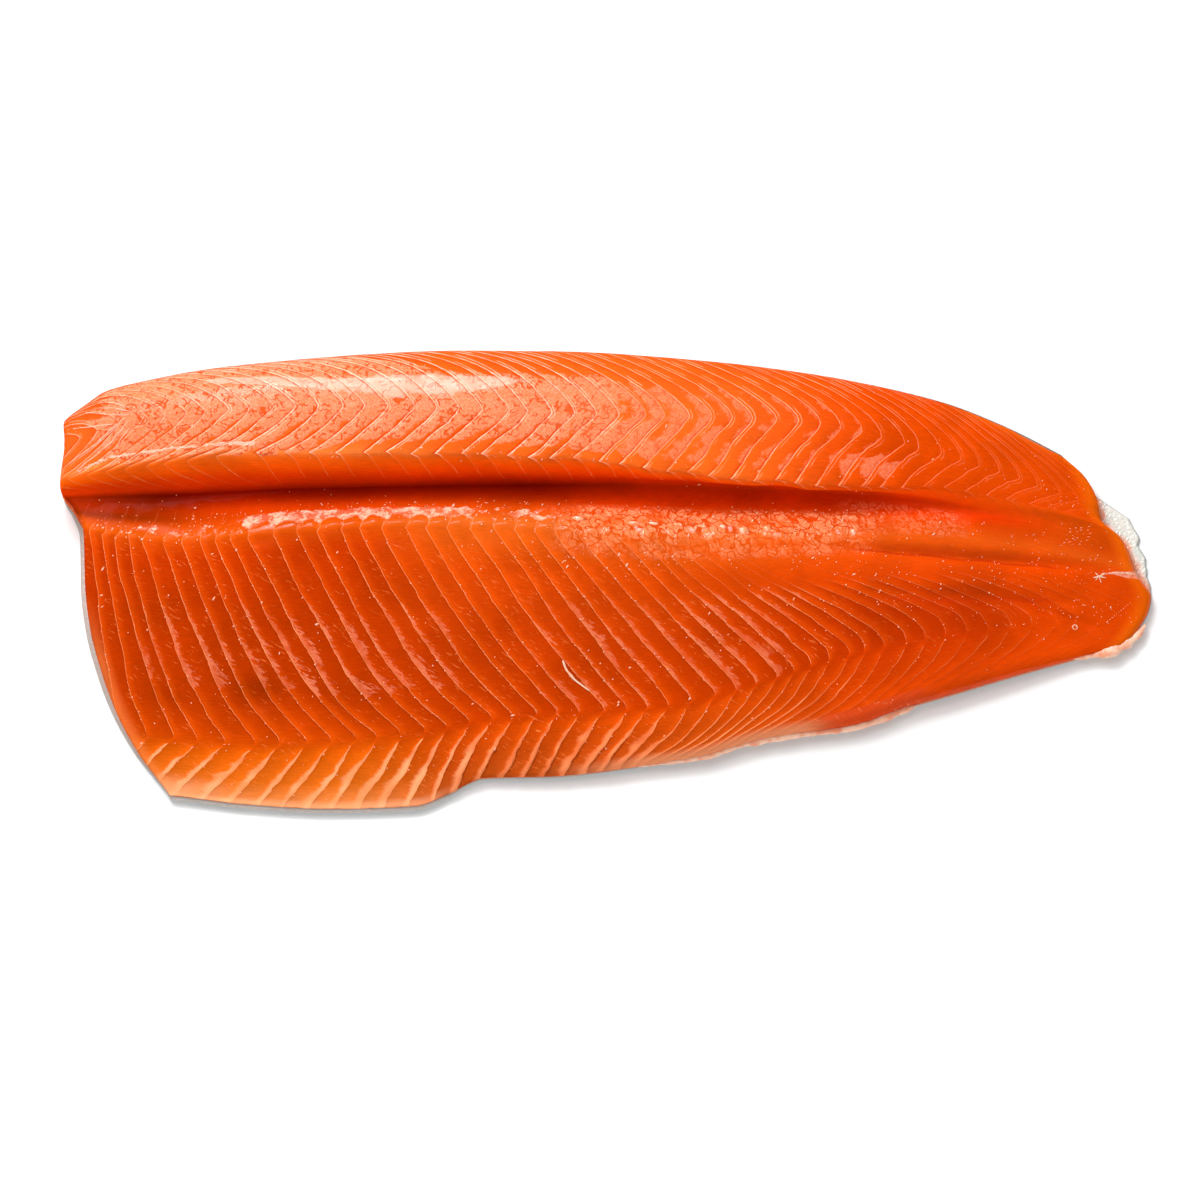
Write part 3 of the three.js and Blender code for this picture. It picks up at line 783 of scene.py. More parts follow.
base = mixer.blend(mixer.fade(lengthwise, 330, 375) * mixer.fade(across, 3.9, 4.3), base, tone(210, 64, 1))
tail_groove = (mixer.fade(lengthwise, 340, 372)
    * (mixer.fade(across, 2.05, 2.4) * mixer.fade(across, 3.7, 3.2)))
base = mixer.blend(tail_groove * 0.85, base, tone(188, 66, 3))
# Less painted shade where the groove lies open.
in_groove = mixer.fade(across, 2.6, 2.8) * mixer.fade(across, 3.5, 3.3)
open_groove = (mixer.fade(lengthwise, 170, 235) * mixer.fade(lengthwise, 345, 315, 0.0, 0.75)
    + mixer.fade(lengthwise, 45, 8, 0.0, 0.6))
base = mixer.blend(in_groove * open_groove, base, tone(228, 58, 2))
blotch = mixer.fade(mixer.noise(place, 55, 3), 0.35, 0.65, 0.92, 1.06)
fibres = mixer.fade(mixer.noise(mixer.stretched(grain, (0.22, 2.6, 1)), 1.0, 3, 0.6), 0.3, 0.7, 0.9, 1.08)
shadow_side = mixer.fade(downhill, 0.25, 1.0) * mixer.value("shade")
narrow_shade = mixer.fade(sunk_side, 0.1, 1.5, 1.0, 0.0) * mixer.value("shade")
lit_side = mixer.fade(proud_side, 0.3, 3.2, 1.0, 0.0) * mixer.value("shade")
segment_shade = 0.98 + lit_side * 0.1 - (shadow_side * 0.17 + narrow_shade * 0.06)
light_share = blotch * fibres * segment_shade * mixer.value("tone_and_hollow_shade")
base = mixer.blend(1.0, base, mixer.node("ShaderNodeCombineColor",
    {0: light_share, 1: light_share, 2: light_share}).outputs[0], "MULTIPLY")
base = mixer.blend(lit_side * 0.3, base, tone(238, 94, 10))
raked = mixer.node("ShaderNodeVectorRotate", {"Vector": mixer.warped(place, 70, 5 * MM), "Angle": 0.5},
                   rotation_type="Z_AXIS").outputs[0]
hairs = mixer.fade(mixer.noise(mixer.stretched(raked, (1, 6, 1)), 260, 2, 0.6), 0.6, 0.7)
hairs = hairs * mixer.fade(mixer.noise(place, 130, 2), 0.42, 0.58)
base = mixer.blend(hairs * mixer.value("shade") * 0.6, base, tone(238, 126, 62))

# The wet film that lies over the loin, drawn back to ragged edges before each next segment. Its pale pink is
# partly the film's own colour and partly painted sheen.
drawn_back = mixer.between(mixer.fade(lengthwise, 175, 215), phase_there ** 1.5, 1.0 - phase_there)
film_and_sheen_reach = mixer.value("film_and_sheen") - drawn_back * 0.55
film_and_sheen_edge = (mixer.noise(place, 170, 4, 0.62) - 0.5) * 1.15
film_and_sheen_there = mixer.fade(film_and_sheen_reach + film_and_sheen_edge, 0.2, 0.36)
speckle = mixer.fade(mixer.noise(place, 1300, 2, 0.7), 0.38, 0.62)
film_and_sheen_tone = mixer.blend(speckle, tone(234, 118, 76), tone(243, 148, 112))
base = mixer.blend(film_and_sheen_there * mixer.fade(lengthwise, 170, 250, 0.76, 0.5), base, film_and_sheen_tone)
crease_noise = abs(mixer.noise(place, 430, 0, 0.5, 0.4) - 0.5)
squiggles = (mixer.fade(crease_noise, 0.035, 0.075, 1.0, 0.0)
    * (mixer.fade(mixer.noise(place, 300, 1), 0.49, 0.54) * film_and_sheen_there))
squiggles = squiggles * mixer.fade(lengthwise, 250, 170, 0.25, 1.0)
base = mixer.blend(squiggles * 0.85, base, tone(214, 70, 2))

# A painted highlight: a flat pale band along the shoulder of the loin.
painted_sheen_band = mixer.value("sheen") + (mixer.noise(place, 210, 4, 0.6) - 0.5) * 1.3
painted_sheen_band = mixer.fade(painted_sheen_band, 0.15, 0.4) * mixer.fade(to_next, 0.2, 1.2, 0.55, 1.0)
base = mixer.blend(painted_sheen_band * 0.72, base, tone(240, 172, 150))

# The crinkled wet lining on the ridge by the groove: pale leaves, partly the lining's own colour and partly
# painted highlight, between creases of painted shade.
leaf_place = mixer.node("ShaderNodeVectorRotate", {"Vector": mixer.warped(place, 260, 0.006), "Angle": 0.7},
                        rotation_type="Z_AXIS").outputs[0]
leaves = mixer.node("ShaderNodeTexVoronoi",
    {"Vector": mixer.stretched(leaf_place, (1.0, 1.9, 0.4)), "Scale": 210.0}, feature="DISTANCE_TO_EDGE")
leaf_crease_shade = mixer.fade(leaves.outputs[0], 0.03, 0.11, 1.0, 0.0)
fine_crease = mixer.fade(abs(mixer.noise(place, 620, 3, 0.6, 1.2) - 0.5), 0.01, 0.05, 1.0, 0.0)
lining_and_highlight = mixer.value("crinkle") * mixer.fade(mixer.noise(place, 140, 3, 0.6), 0.4, 0.54, 0.25, 1.0)
lining_and_highlight = lining_and_highlight * (1.0 - mixer.sum("MAXIMUM", leaf_crease_shade, fine_crease * 0.7))
base = mixer.blend(lining_and_highlight * 0.66, base, mixer.blend(speckle, tone(238, 128, 76), tone(250, 168, 126)))
base = mixer.blend(leaf_crease_shade * mixer.value("crinkle") * 0.75, base, tone(196, 58, 6))

# A painted highlight in pale ragged patches on the wet slope above the heads of the flank's segments.
ridge_highlight_wander = (mixer.noise(place, 330, 3, 0.6) - 0.5) * 0.2
ridge_highlight_across = mixer.value("highlight_across") + ridge_highlight_wander
head_curve = mixer.sum("COSINE", phase_there * (2 * np.pi)) * 0.05
ridge_highlight_mask = mixer.fade(ridge_highlight_across, 3.48, 3.53) * mixer.fade(ridge_highlight_across - head_curve, 3.76, 3.71)
ridge_highlight_mask = ridge_highlight_mask * mixer.fade(mixer.value("ridge_highlight") + (mixer.noise(place, 250, 2) - 0.5) * 1.5, 0.5, 0.62)
ridge_highlight_lines = mixer.fade(abs(mixer.noise(mixer.stretched(place, (0.6, 1.3, 1)), 480, 1, 0.5, 0.8) - 0.5), 0.02,
    0.06, 1.0, 0.0)
wet_ridge_highlight = ridge_highlight_mask * mixer.fade(mixer.noise(place, 210, 4, 0.65), 0.42, 0.56, 0.12, 0.85)
wet_ridge_highlight = wet_ridge_highlight * mixer.fade(ridge_highlight_lines, 0, 1, 1.0, 0.35)
base = mixer.blend(wet_ridge_highlight, base, tone(246, 186, 160))

# The sheets themselves: torn edges lying on the next segment, and a bright line where each one stands.
ragged = mixer.noise(mixer.stretched(raked, (1, 3.6, 1)), 330, 3, 0.65)
torn_width = (mixer.value("seam_width")
    * mixer.between(lower_limb, mixer.fade(ragged, 0.3, 0.7, 0.2, 1.7),
    mixer.fade(ragged, 0.25, 0.75, 0.85, 1.15)))
into_veil = proud_side / torn_width
veil = mixer.value("seams") * mixer.fade(into_veil, mixer.between(lower_limb, 0.6, 0.35), 1.05, 1.0, 0.0)
veil = veil * mixer.between(lower_limb, mixer.fade(mixer.noise(place, 240, 3), 0.3, 0.6, 0.45, 1.0), 1.0)
broken = mixer.fade(mixer.noise(mixer.stretched(grain, (0.1, 0.35, 1)), 1.0, 2), 0.3, 0.6, 0.45, 1.0)
edge_line = (mixer.value("seams") * broken
    * mixer.fade(proud_side, mixer.value("line_width") * 0.3, mixer.value("line_width"), 1.0, 0.0))
loin_only = mixer.fade(across, 2.2, 1.95)
# Painted shade: a dark band on the loin just before each next sheet, where the next segment stands over this
# one.
outline_shade = mixer.fade(to_next, 0.35, 0.85, 1.0, 0.0) * mixer.value("seams") * loin_only
echo = (mixer.fade(abs(from_sheet - 1.15), 0.08, 0.28, 1.0, 0.0)
    * (mixer.fade(mixer.noise(place, 90, 1), 0.46, 0.56) * mixer.value("seams")))
veil_tone = mixer.blend(mixer.fade(lengthwise, 130, 165), tone(246, 166, 116), tone(238, 138, 88))
veil_tone = mixer.blend(lower_limb, tone(222, 130, 96), veil_tone)
line_tone = mixer.blend(loin_only, tone(246, 148, 84),
    mixer.blend(mixer.fade(lengthwise, 160, 240), tone(255, 206, 178), tone(255, 176, 132)))
base = mixer.blend(outline_shade * mixer.fade(across, 0.9, 1.15, 0.45, 0.8), base, tone(204, 54, 6))
base = mixer.blend(veil * mixer.value("paleness"), base, veil_tone)
base = mixer.blend(echo * loin_only * 0.45, base, line_tone)
base = mixer.blend(edge_line * mixer.fade(across, 3.0, 3.2, 0.85, 0.66), base, line_tone)

# A frayed pink seam along the top of the loin's cut side near the head, and pale flesh at the low corner.
streak = mixer.value("fray") + (mixer.noise(mixer.stretched(place, (1.0, 2.6, 1.0)), 330, 4, 0.7) - 0.5) * 2.6
streak = mixer.fade(streak, 0.72, 0.96) * mixer.fade(mixer.value("fray"), 0.05, 0.3)
base = mixer.blend(streak * 0.9, base, tone(244, 186, 162))
head_rim = mixer.value("near_head") * mixer.fade(across, 4.3, 4.7)
base = mixer.blend(head_rim * 0.45, base, tone(230, 124, 62))
base = mixer.blend(mixer.value("thin_tail") * 0.7, base, tone(226, 100, 6))
rim = mixer.fade(across, 5.86, 5.97)
front_rim = mixer.sum("MAXIMUM", rim * mixer.fade(lengthwise, 150, 130), mixer.fade(across, 5.55, 5.95)
    * mixer.fade(lengthwise, 72, 40))
base = mixer.blend(front_rim * 0.45, base, tone(244, 172, 128))
soft_rim = (mixer.fade(across, 5.8, 5.98)
    * (mixer.fade(lengthwise, 172, 225) * mixer.fade(lengthwise, 292, 268)))
base = mixer.blend(soft_rim * 0.8, base, tone(222, 140, 98))
red_rim = (mixer.fade(across, 5.79, 5.82)
    * (mixer.fade(lengthwise, 272, 286) * mixer.fade(lengthwise, 322, 310)))
base = mixer.blend(red_rim * 0.8, base, mixer.blend(hairs, tone(200, 66, 26), tone(226, 124, 84)))

# The pink end of the gristle that splits the tail, and painted shade along sharp creases in the tail's
# furrows.
split = abs(mixer.sum("SUBTRACT", mixer.node("ShaderNodeSeparateXYZ",
    {0: mixer.warped(place, 160, 0.0016)}).outputs[1], 1.9 * MM))
split = (mixer.fade(split / mixer.fade(lengthwise, 380, 398, 0.3 * MM, 1.9 * MM), 0.6, 1.0, 1.0, 0.0)
    * mixer.fade(lengthwise, 380, 388))
base = mixer.blend(split * mixer.fade(mixer.noise(place, 500, 2), 0.4, 0.6, 0.3, 0.75), base,
    tone(236, 160, 134))
aside = mixer.node("ShaderNodeSeparateXYZ", {0: mixer.warped(place, 90, 0.0022)})


def shaded_crease(start, end, y_start, y_end, width):
    """A thin line of painted shade along a straight crease on the flesh, in the frame's millimetres from the
    head cut.
    """
    slope = (y_end - y_start) / (end - start)
    line = mixer.sum("MULTIPLY_ADD", aside.outputs[0], slope, (y_start + slope * (LENGTH / 2 - start)) * MM)
    off = abs(aside.outputs[1] - line)
    there = mixer.fade(lengthwise, start, start + 12) * mixer.fade(lengthwise, end, end - 14)
    return mixer.fade(off, 0.1 * MM, width * MM, 1.0, 0.0) * there


crease_shade = mixer.sum("MAXIMUM", shaded_crease(284, 372, 9.2, 3.2, 0.8), shaded_crease(296, 372, -9.6, -8.2, 1.6) * 0.5)
base = mixer.blend(crease_shade * 0.6, base, tone(176, 40, 6))

# The knife cuts at both ends: plain muscle, with the segments seen end-on as rings round the loin's middle.
cut_face = mixer.value("cut") * mixer.fade(across, 5.9, 5.8)
ring_place = mixer.stretched(mixer.warped(place, 110, 0.004), (0, 1, 1))
from_middle = mixer.node("ShaderNodeVectorMath", {0: ring_place, 1: (0, 38 * MM, 8 * MM)},
    operation="DISTANCE").outputs["Value"]
ring = mixer.sum("FRACT", mixer.times(from_middle, 1 / (3.6 * MM)))
base = mixer.blend(cut_face * 0.8, base, mixer.blend(fibres, tone(204, 66, 14), tone(222, 88, 26)))
base = mixer.blend(cut_face * mixer.fade(ring, 0.03, 0.16, 1.0, 0.0) * 0.6, base, tone(242, 156, 112))

# The height is worked out three times at every point of the picture, so only what shows goes into it.
height = fibres * 0.25 + edge_line * 0.12
height = height + film_and_sheen_there * 0.1
height = height - squiggles * 0.4
bump = mixer.node("ShaderNodeBump", {"Strength": 0.8, "Distance": MM, "Height": height}).outputs[0]
roughness = 0.46 - film_and_sheen_there * 0.1
film_share = mixer.sum("MULTIPLY_ADD", film_and_sheen_there, 0.75, 0.25) * (1.0 - squiggles)
film_share = (film_share * mixer.fade(mixer.noise(mixer.stretched(place, (0.5, 1.4, 1)), 260, 4, 0.65), 0.42,
    0.6, 0.25, 1.0))
wetness = mixer.value("wet") * mixer.sum("MAXIMUM", film_share, mixer.fade(across, 2.2, 2.6))
wetness = wetness + (lining_and_highlight * 0.5 + wet_ridge_highlight * 0.5)
shader = mixer.node("ShaderNodeBsdfPrincipled", {
    "Base Color": base, "Roughness": roughness, "IOR": 1.38, "Specular IOR Level": 0.0, "Normal": bump,
    "Subsurface Weight": 0.22, "Subsurface Radius": (1.0, 0.25, 0.1), "Subsurface Scale": 2.2 * MM,
    "Coat Weight": wetness, "Coat Roughness": 0.12, "Coat IOR": 1.36}, subsurface_method="BURLEY")
mixer.node("ShaderNodeOutputMaterial", {"Surface": shader.outputs[0]})
flesh.data.materials.append(raw_flesh)
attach(flesh, "root")
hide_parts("flesh")

# ---------------------------------------------------------------------------------------------
# Skin. One thin sheet under all of the flesh, turned up along the fish's back and showing past the
# head cut, the belly edge and the tail cut.
# ---------------------------------------------------------------------------------------------
SKIN_THICKNESS = 1.0
SKIN_PAST_HEAD_CUT = [(-80, 0.6), (-60, 1.5), (-20, 2.2), (0, 2.5), (15, 2.4), (27, 1.2), (33, 0), (90, 0)]
SKIN_PAST_TAIL_CUT = [(-30, 0.1), (-5.5, 0.3), (0, 3.2), (8, 5.2), (14, 5.4), (20, 10), (24, 10.8), (27.5, 7),
                      (31, 2.8), (34, 0.4), (60, 0.1)]
SKIN_PAST_BELLY = [(0, 0.8), (50, 1.4), (138, 1.3), (150, 0.4), (401, 0.4)]


def skin_head(there):
    return along(HEAD_CUT, there) - along(SKIN_PAST_HEAD_CUT, there)


def skin_tail(there):
    scallops = 0.7 * mottle(there / 2.4, 0 * there, 58) * patch(there, 4, 30, 3)
    return along(TAIL_CUT, there) + along(SKIN_PAST_TAIL_CUT, there) + scallops


skin_points, skin_rows, outside, skin_across = [], [], [], []
skin_steps = np.unique(np.concatenate([np.linspace(0, 1, 161), np.linspace(0.95, 1, 31)]))
for face_out, depth in ((0, SKIN_THICKNESS), (1, 0)):
    rows = under_rows(depth, SKIN_PAST_BELLY, 10, 36, 8)
    made = []
    for k, row in enumerate(rows):
        points = row_between_cuts(row, skin_head, skin_tail, skin_steps)
        made.append(np.arange(len(skin_steps)) + len(skin_steps) * (len(rows) * face_out + k))
        skin_points.append(points)
        outside.append(np.full(len(points), float(face_out)))
        skin_across.append(np.full(len(points), k / (len(rows) - 1)))
    skin_rows.append(made)
inner_rows, outer_rows = skin_rows
skin_spots = np.concatenate(skin_points)
skin_faces = []
for a, b in zip(inner_rows[:-1], inner_rows[1:]):
    skin_faces += quads_between(a, b)
for a, b in zip(outer_rows[:-1], outer_rows[1:]):
    skin_faces += [face[::-1] for face in quads_between(a, b)]
skin_faces += quads_between(outer_rows[0], inner_rows[0])
skin_faces += quads_between(inner_rows[-1], outer_rows[-1])
ends_in = [np.array([row[k] for row in inner_rows]) for k in (0, -1)]
ends_out = [np.array([row[k] for row in outer_rows]) for k in (0, -1)]
skin_faces += quads_between(ends_in[0], ends_out[0])
skin_faces += [face[::-1] for face in quads_between(ends_in[1], ends_out[1])]
past_tail = skin_spots[:, 0] - along(TAIL_CUT, skin_spots[:, 1])
from_rim = skin_tail(skin_spots[:, 1]) - skin_spots[:, 0]
skin = new_piece("skin", skin_spots, skin_faces, {
    "outside": np.concatenate(outside), "down_side": np.concatenate(skin_across),
    "past_tail": past_tail, "from_rim": from_rim, "along": skin_spots[:, 0]})

fish_skin, mixer = new_material("silver trout skin")
place = mixer.node("ShaderNodeTexCoord").outputs["Object"]
scales = mixer.node("ShaderNodeTexVoronoi", {"Vector": place, "Scale": 620.0}, feature="DISTANCE_TO_EDGE")
scale_edge = mixer.fade(scales.outputs[0], 0.0, 0.25)
down = mixer.value("down_side")
side_tone = mixer.colours(down, [(0.0, tone(62, 74, 66)), (0.16, tone(96, 108, 98)),
    (0.3, tone(178, 150, 150)), (0.42, tone(196, 172, 170)), (0.55, tone(200, 204, 204)),
    (1.0, tone(224, 224, 220))])
side_tone = mixer.blend(mixer.fade(scale_edge, 0, 1, 0.35, 0.0), side_tone, tone(70, 76, 74))
milky = mixer.value("past_tail") + (mixer.noise(place, 260, 3) - 0.5) * 6.0
inside_tone = mixer.blend(mixer.fade(milky, 0.8, 3.6), tone(232, 160, 130), tone(224, 223, 214))
inside_tone = mixer.blend(mixer.fade(mixer.value("along"), 200, 300), tone(204, 190, 182), inside_tone)
inside_tone = mixer.blend(mixer.fade(mixer.noise(place, 330, 2), 0.5, 0.7, 0.0, 0.35), inside_tone,
    tone(188, 198, 196))
inside_tone = mixer.blend(mixer.fade(mixer.value("from_rim"), 0.2, 1.1, 0.45, 0.0), inside_tone,
    tone(128, 140, 138))
skin_tone = mixer.blend(mixer.value("outside"), inside_tone, side_tone)
puckers = scale_edge + mixer.noise(place, 420, 2) * 5.0
skin_bump = mixer.node("ShaderNodeBump", {"Strength": 0.5, "Distance": 0.15 * MM, "Height": puckers})
shader = mixer.node("ShaderNodeBsdfPrincipled", {
    "Base Color": skin_tone, "Roughness": 0.32, "IOR": 1.4, "Normal": skin_bump.outputs[0], "Metallic": 0.15,
    "Coat Weight": 0.6, "Coat Roughness": 0.12, "Coat IOR": 1.38})
mixer.node("ShaderNodeOutputMaterial", {"Surface": shader.outputs[0]})
skin.data.materials.append(fish_skin)
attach(skin, "root")
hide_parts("skin")

# ---------------------------------------------------------------------------------------------
# Strips of soft white fat and lining left by the knife: one along the belly edge, a roll round the
# lower corner of the tail, and the end of the gristle that splits the tail. They cling to the flesh.
# ---------------------------------------------------------------------------------------------
STRIP_SIDES, STRIP_STATIONS = 14, 90
BELLY_STRIP = [(212, 0.5, 2.8), (228, 1.1, 2.9), (250, 1.5, 3.0), (272, 1.6, 3.0), (285, 1.7, 2.9),
               (302, 1.9, 2.7), (309, 1.5, 2.5), (313.5, 0.35, 2.3)]
TAIL_ROLL = [(369.5, -28.6, 0.4, 2.8), (374, -27.9, 1.4, 3.3), (380, -26.9, 2.0, 3.5), (385, -26.1, 2.1, 3.5),
             (388, -24.8, 2.0, 3.4), (393.7, -21.2, 1.5, 3.1), (398, -16.2, 0.6, 2.8)]
TAIL_STREAK = [(381.5, 1.4, 0.1), (384, 1.9, 0.16), (388, 2.4, 0.2), (392, 2.2, 0.26), (395, 1.7, 0.26),
               (397.5, 0.9, 0.12)]


def surface_height(at, there):
    """Height of the top of the flesh at some places, taken from its nearest points."""
    near = [np.argmin((s - a) ** 2 + (y - b) ** 2) for a, b in zip(at, there)]
    return z[near]


def strip(name, centre, half_width, half_height, seed):
    """A soft flattened strip along a line of points, uneven in width and closed at both ends."""
    count = len(centre)
    way = np.gradient(centre, axis=0)
    way /= np.linalg.norm(way, axis=1)[:, None]
    aside = np.cross(way, (0, 0, 1))
    aside /= np.linalg.norm(aside, axis=1)[:, None]
    u = np.linspace(0, count / 8, count)
    uneven = (1 + 0.22 * mottle(u * 2.1, np.zeros(count), seed)
        + 0.12 * mottle(u * 6, np.zeros(count), seed + 1))
    turn = np.linspace(0, 2 * np.pi, STRIP_SIDES, endpoint=False)
    lumps = 1 + 0.12 * mottle(u[:, None] * 5 + 0 * turn, turn[None, :] * 1.3 + 0 * u[:, None], seed + 2)
    across_part = (aside[:, None, :] * np.cos(turn)[None, :, None]
                   * (half_width * uneven)[:, None, None] * lumps[:, :, None])
    up_part = np.array([0, 0, 1]) * np.sin(turn)[None, :, None] * (half_height * uneven)[:, None, None]
    points = (centre[:, None, :] + across_part + up_part * lumps[:, :, None]).reshape(-1, 3)
    ids = np.arange(count * STRIP_SIDES).reshape(count, STRIP_SIDES)
    made = []
    for k in range(STRIP_SIDES):
        made += [face[::-1] for face in quads_between(ids[:, k], ids[:, (k + 1) % STRIP_SIDES])]
    made += [tuple(ids[0]), tuple(ids[-1][::-1])]
    return new_piece(name, points, made)


def drawn_out(table, stations):
    """A table of rows (first value rising) as smooth curves, one for each of its other values."""
    at = np.linspace(table[0][0], table[-1][0], stations)
    return [at] + [along([(row[0], row[k]) for row in table], at) for k in range(1, len(table[0]))]


at, half_wide, high = drawn_out(BELLY_STRIP, STRIP_STATIONS)
belly_line = np.stack([at, along(BELLY_EDGE, at) - 0.4 * rise_between(at, 250, 285), high + 0.9], axis=1)
belly_strip = strip("belly_lining_strip", belly_line, half_wide, half_wide * 0.8, 61)
at, there, half_wide, high = drawn_out(TAIL_ROLL, 50)
tail_roll = strip("tail_fat_roll", np.stack([at, there, high], axis=1), half_wide, half_wide * 0.62, 64)
at, there, half_wide = drawn_out(TAIL_STREAK, 40)
tail_streak = strip("tail_gristle_end", np.stack([at, there, surface_height(at, there) - 0.02], axis=1),
                    half_wide, half_wide * 0.22, 67)

soft_fat, mixer = new_material("soft pink white fat")
place = mixer.node("ShaderNodeTexCoord").outputs["Object"]
pinkness = mixer.fade(mixer.noise(place, 240, 2, 0.5, 0.3), 0.38, 0.7)
fat_tone = mixer.blend(pinkness, tone(240, 196, 170), tone(230, 148, 114))
fat_bump = mixer.node("ShaderNodeBump", {"Strength": 0.5, "Distance": 0.4 * MM,
                                         "Height": mixer.noise(place, 700, 3, 0.6)})
shader = mixer.node("ShaderNodeBsdfPrincipled",
    {"Base Color": fat_tone, "Roughness": 0.42, "IOR": 1.4, "Specular IOR Level": 0.3,
    "Normal": fat_bump.outputs[0], "Subsurface Weight": 0.3, "Subsurface Radius": (1.0, 0.6, 0.4),
    "Subsurface Scale": 1.2 * MM, "Coat Weight": 0.6, "Coat Roughness": 0.12, "Coat IOR": 1.36})
mixer.node("ShaderNodeOutputMaterial", {"Surface": shader.outputs[0]})
for piece in (belly_strip, tail_roll, tail_streak):
    piece.data.materials.append(soft_fat)
    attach(piece, "root")

# ---------------------------------------------------------------------------------------------
# Loose threads of gristle that lie on the cut: a fan where the loin's first sheets meet at the head
# end, a torn thread on the belly, and a small star where the line down the tail ends.
# ---------------------------------------------------------------------------------------------
THREAD_SIDES = 6
THREADS = [(0.2, [(19.7, 53.9), (11, 53.3), (3.2, 53.0)]), (0.2, [(24.4, 56.7), (14.7, 47.8), (3.1, 39.5)]),
    (0.18, [(25.8, 55.6), (18.2, 46.2), (6.6, 37.5)]), (0.17, [(25.8, 52.6), (20.4, 44.8), (16.9, 42.1)]),
    (0.18, [(25.7, 57.4), (17.2, 57.9), (8.9, 59.7)]),
    (0.15, [(24, 60.6), (19, 62.9), (15.6, 62.5), (14.6, 61.0)]),
    (0.15, [(22.5, 54.6), (13.5, 46.0), (7.5, 41.6)]), (0.15, [(27.5, 58.5), (20.5, 60.2), (12.5, 60.9)]),
    (0.55, [(184.4, -32.0), (185.6, -35.2), (188.8, -38.9), (194.2, -42.9)]),
    (0.3, [(379.4, 2.2), (380.9, 0.6), (381.6, -1.6)]), (0.3, [(378.6, 0.3), (380.9, 0.6), (383.2, 2.0)]),
    (0.25, [(379.6, -0.9), (380.9, 0.6), (383.4, 0.3)])]


def thread(half_width, points, seed):
    """Points and faces of one thin flattened thread laid on the flesh along a few places."""
    points = np.array(points)
    steps = np.concatenate([[0], np.cumsum(np.hypot(*np.diff(points, axis=0).T))])
    at = np.linspace(0, steps[-1], max(int(steps[-1] / 0.7), 8))
    line = np.stack([np.interp(at, steps, points[:, 0]), np.interp(at, steps, points[:, 1])], axis=1)
    line[1:-1] = (line[:-2] + 2 * line[1:-1] + line[2:]) / 4
    line += 0.25 * mottle(at / 2.5, np.zeros(len(at)), seed)[:, None] * np.array([0.7, -0.7])
    near = [np.argsort((s - a) ** 2 + (y - b) ** 2)[:3] for a, b in line]
    line_z = np.array([z[i].mean() for i in near]) + 0.05
    way = np.gradient(line, axis=0)
    way /= np.linalg.norm(way, axis=1)[:, None]
    wide = half_width * (0.35 + 0.65 * np.sin(np.pi * np.linspace(0.08, 0.92, len(at)))) * (
        1 + 0.35 * mottle(at / 1.6, np.ones(len(at)), seed + 1))
    turn = np.linspace(0, 2 * np.pi, THREAD_SIDES, endpoint=False)
    out = np.stack([-way[:, 1], way[:, 0]], axis=1)
    flat_points = line[:, None, :] + out[:, None, :] * (np.cos(turn)[None, :] * wide[:, None])[:, :, None]
    heights = line_z[:, None] + 0.5 * wide[:, None] * np.sin(turn)[None, :]
    made = []
    ids = np.arange(len(at) * THREAD_SIDES).reshape(len(at), THREAD_SIDES)
    for k in range(THREAD_SIDES):
        made += [face[::-1] for face in quads_between(ids[:, k], ids[:, (k + 1) % THREAD_SIDES])]
    made += [tuple(ids[0]), tuple(ids[-1][::-1])]
    return np.concatenate([flat_points, heights[:, :, None]], axis=2).reshape(-1, 3), made


thread_spots, thread_faces = [], []
for k, (half_width, points) in enumerate(THREADS):
    made_spots, made_faces = thread(half_width, points, 80 + 2 * k)
    start = sum(len(piece) for piece in thread_spots)
    thread_spots.append(made_spots)
    thread_faces += [tuple(i + start for i in face) for face in made_faces]
threads = new_piece("gristle_threads", np.concatenate(thread_spots), thread_faces)
threads.data.materials.append(soft_fat)
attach(threads, "root")

# ---------------------------------------------------------------------------------------------
# Moisture. Tiny beads and smears of juice that stand on the cut muscle, thickest along the ridge
# beside the groove and in the furrows of the tail, and as dots along the sheets of gristle.
# ---------------------------------------------------------------------------------------------
BEAD_RINGS = ((1.0, 0.0), (0.62, 0.75))
BEAD_SIDES = 7
LOOSE_BEADS, SHEET_BEADS = 1500, 380
PEARLS = [(190, 20.4, 3.0, 1.1), (210.2, 18.8, 2.7, 0.8), (217.6, 18.5, 2.4, 0.8), (226.4, 18.1, 2.4, 0.9),
          (235.2, 17.5, 2.1, 0.9), (242.8, 17.2, 1.7, 1.1), (250.6, 15.6, 2.1, 1.9), (259, 16.4, 2.0, 1.6)]
RING_CENTRE, RING_RADIUS = (371.8, -18.0), 0.85
CUT_LINE = ((383.8, -15.7), (392.2, -8.8))
GLEAM_START, GLEAM_STEP = (368, 12.2), (2.6, 1.4)
picker = np.random.default_rng(71)
open_top = (from_head > 3) & (from_tail > 4) & (t > 0.4) & (t < 5.85)
wished = (0.12 * (1 - patch(t, 2.3, 3.2, 0.2)) + 1.3 * patch(highlight_across, 3.4, 3.75, 0.12)
    * patch(s, 16, 350, 20) + 0.15 * patch(t, 3.2, 3.6, 0.2) * patch(s, 20, 120, 20)
    + 0.8 * patch(t, 3.9, 4.15, 0.1) * patch(s, 180, 300, 20) + 1.1 * patch(y, -2, 8, 2.5)
    * patch(s, 286, 378, 6) + 0.9 * patch(y, -12, -7, 2.5) * patch(s, 296, 378, 6) + 0.12 * (s > 290)
    * (t < 2) + 0.5 * patch(t, 1.85, 2.05, 0.1) * patch(s, 20, 300, 10) + 0.2 * patch(s, 360, 396, 8))
wished = wished * open_top * np.clip(spacing, 0.5, 9)
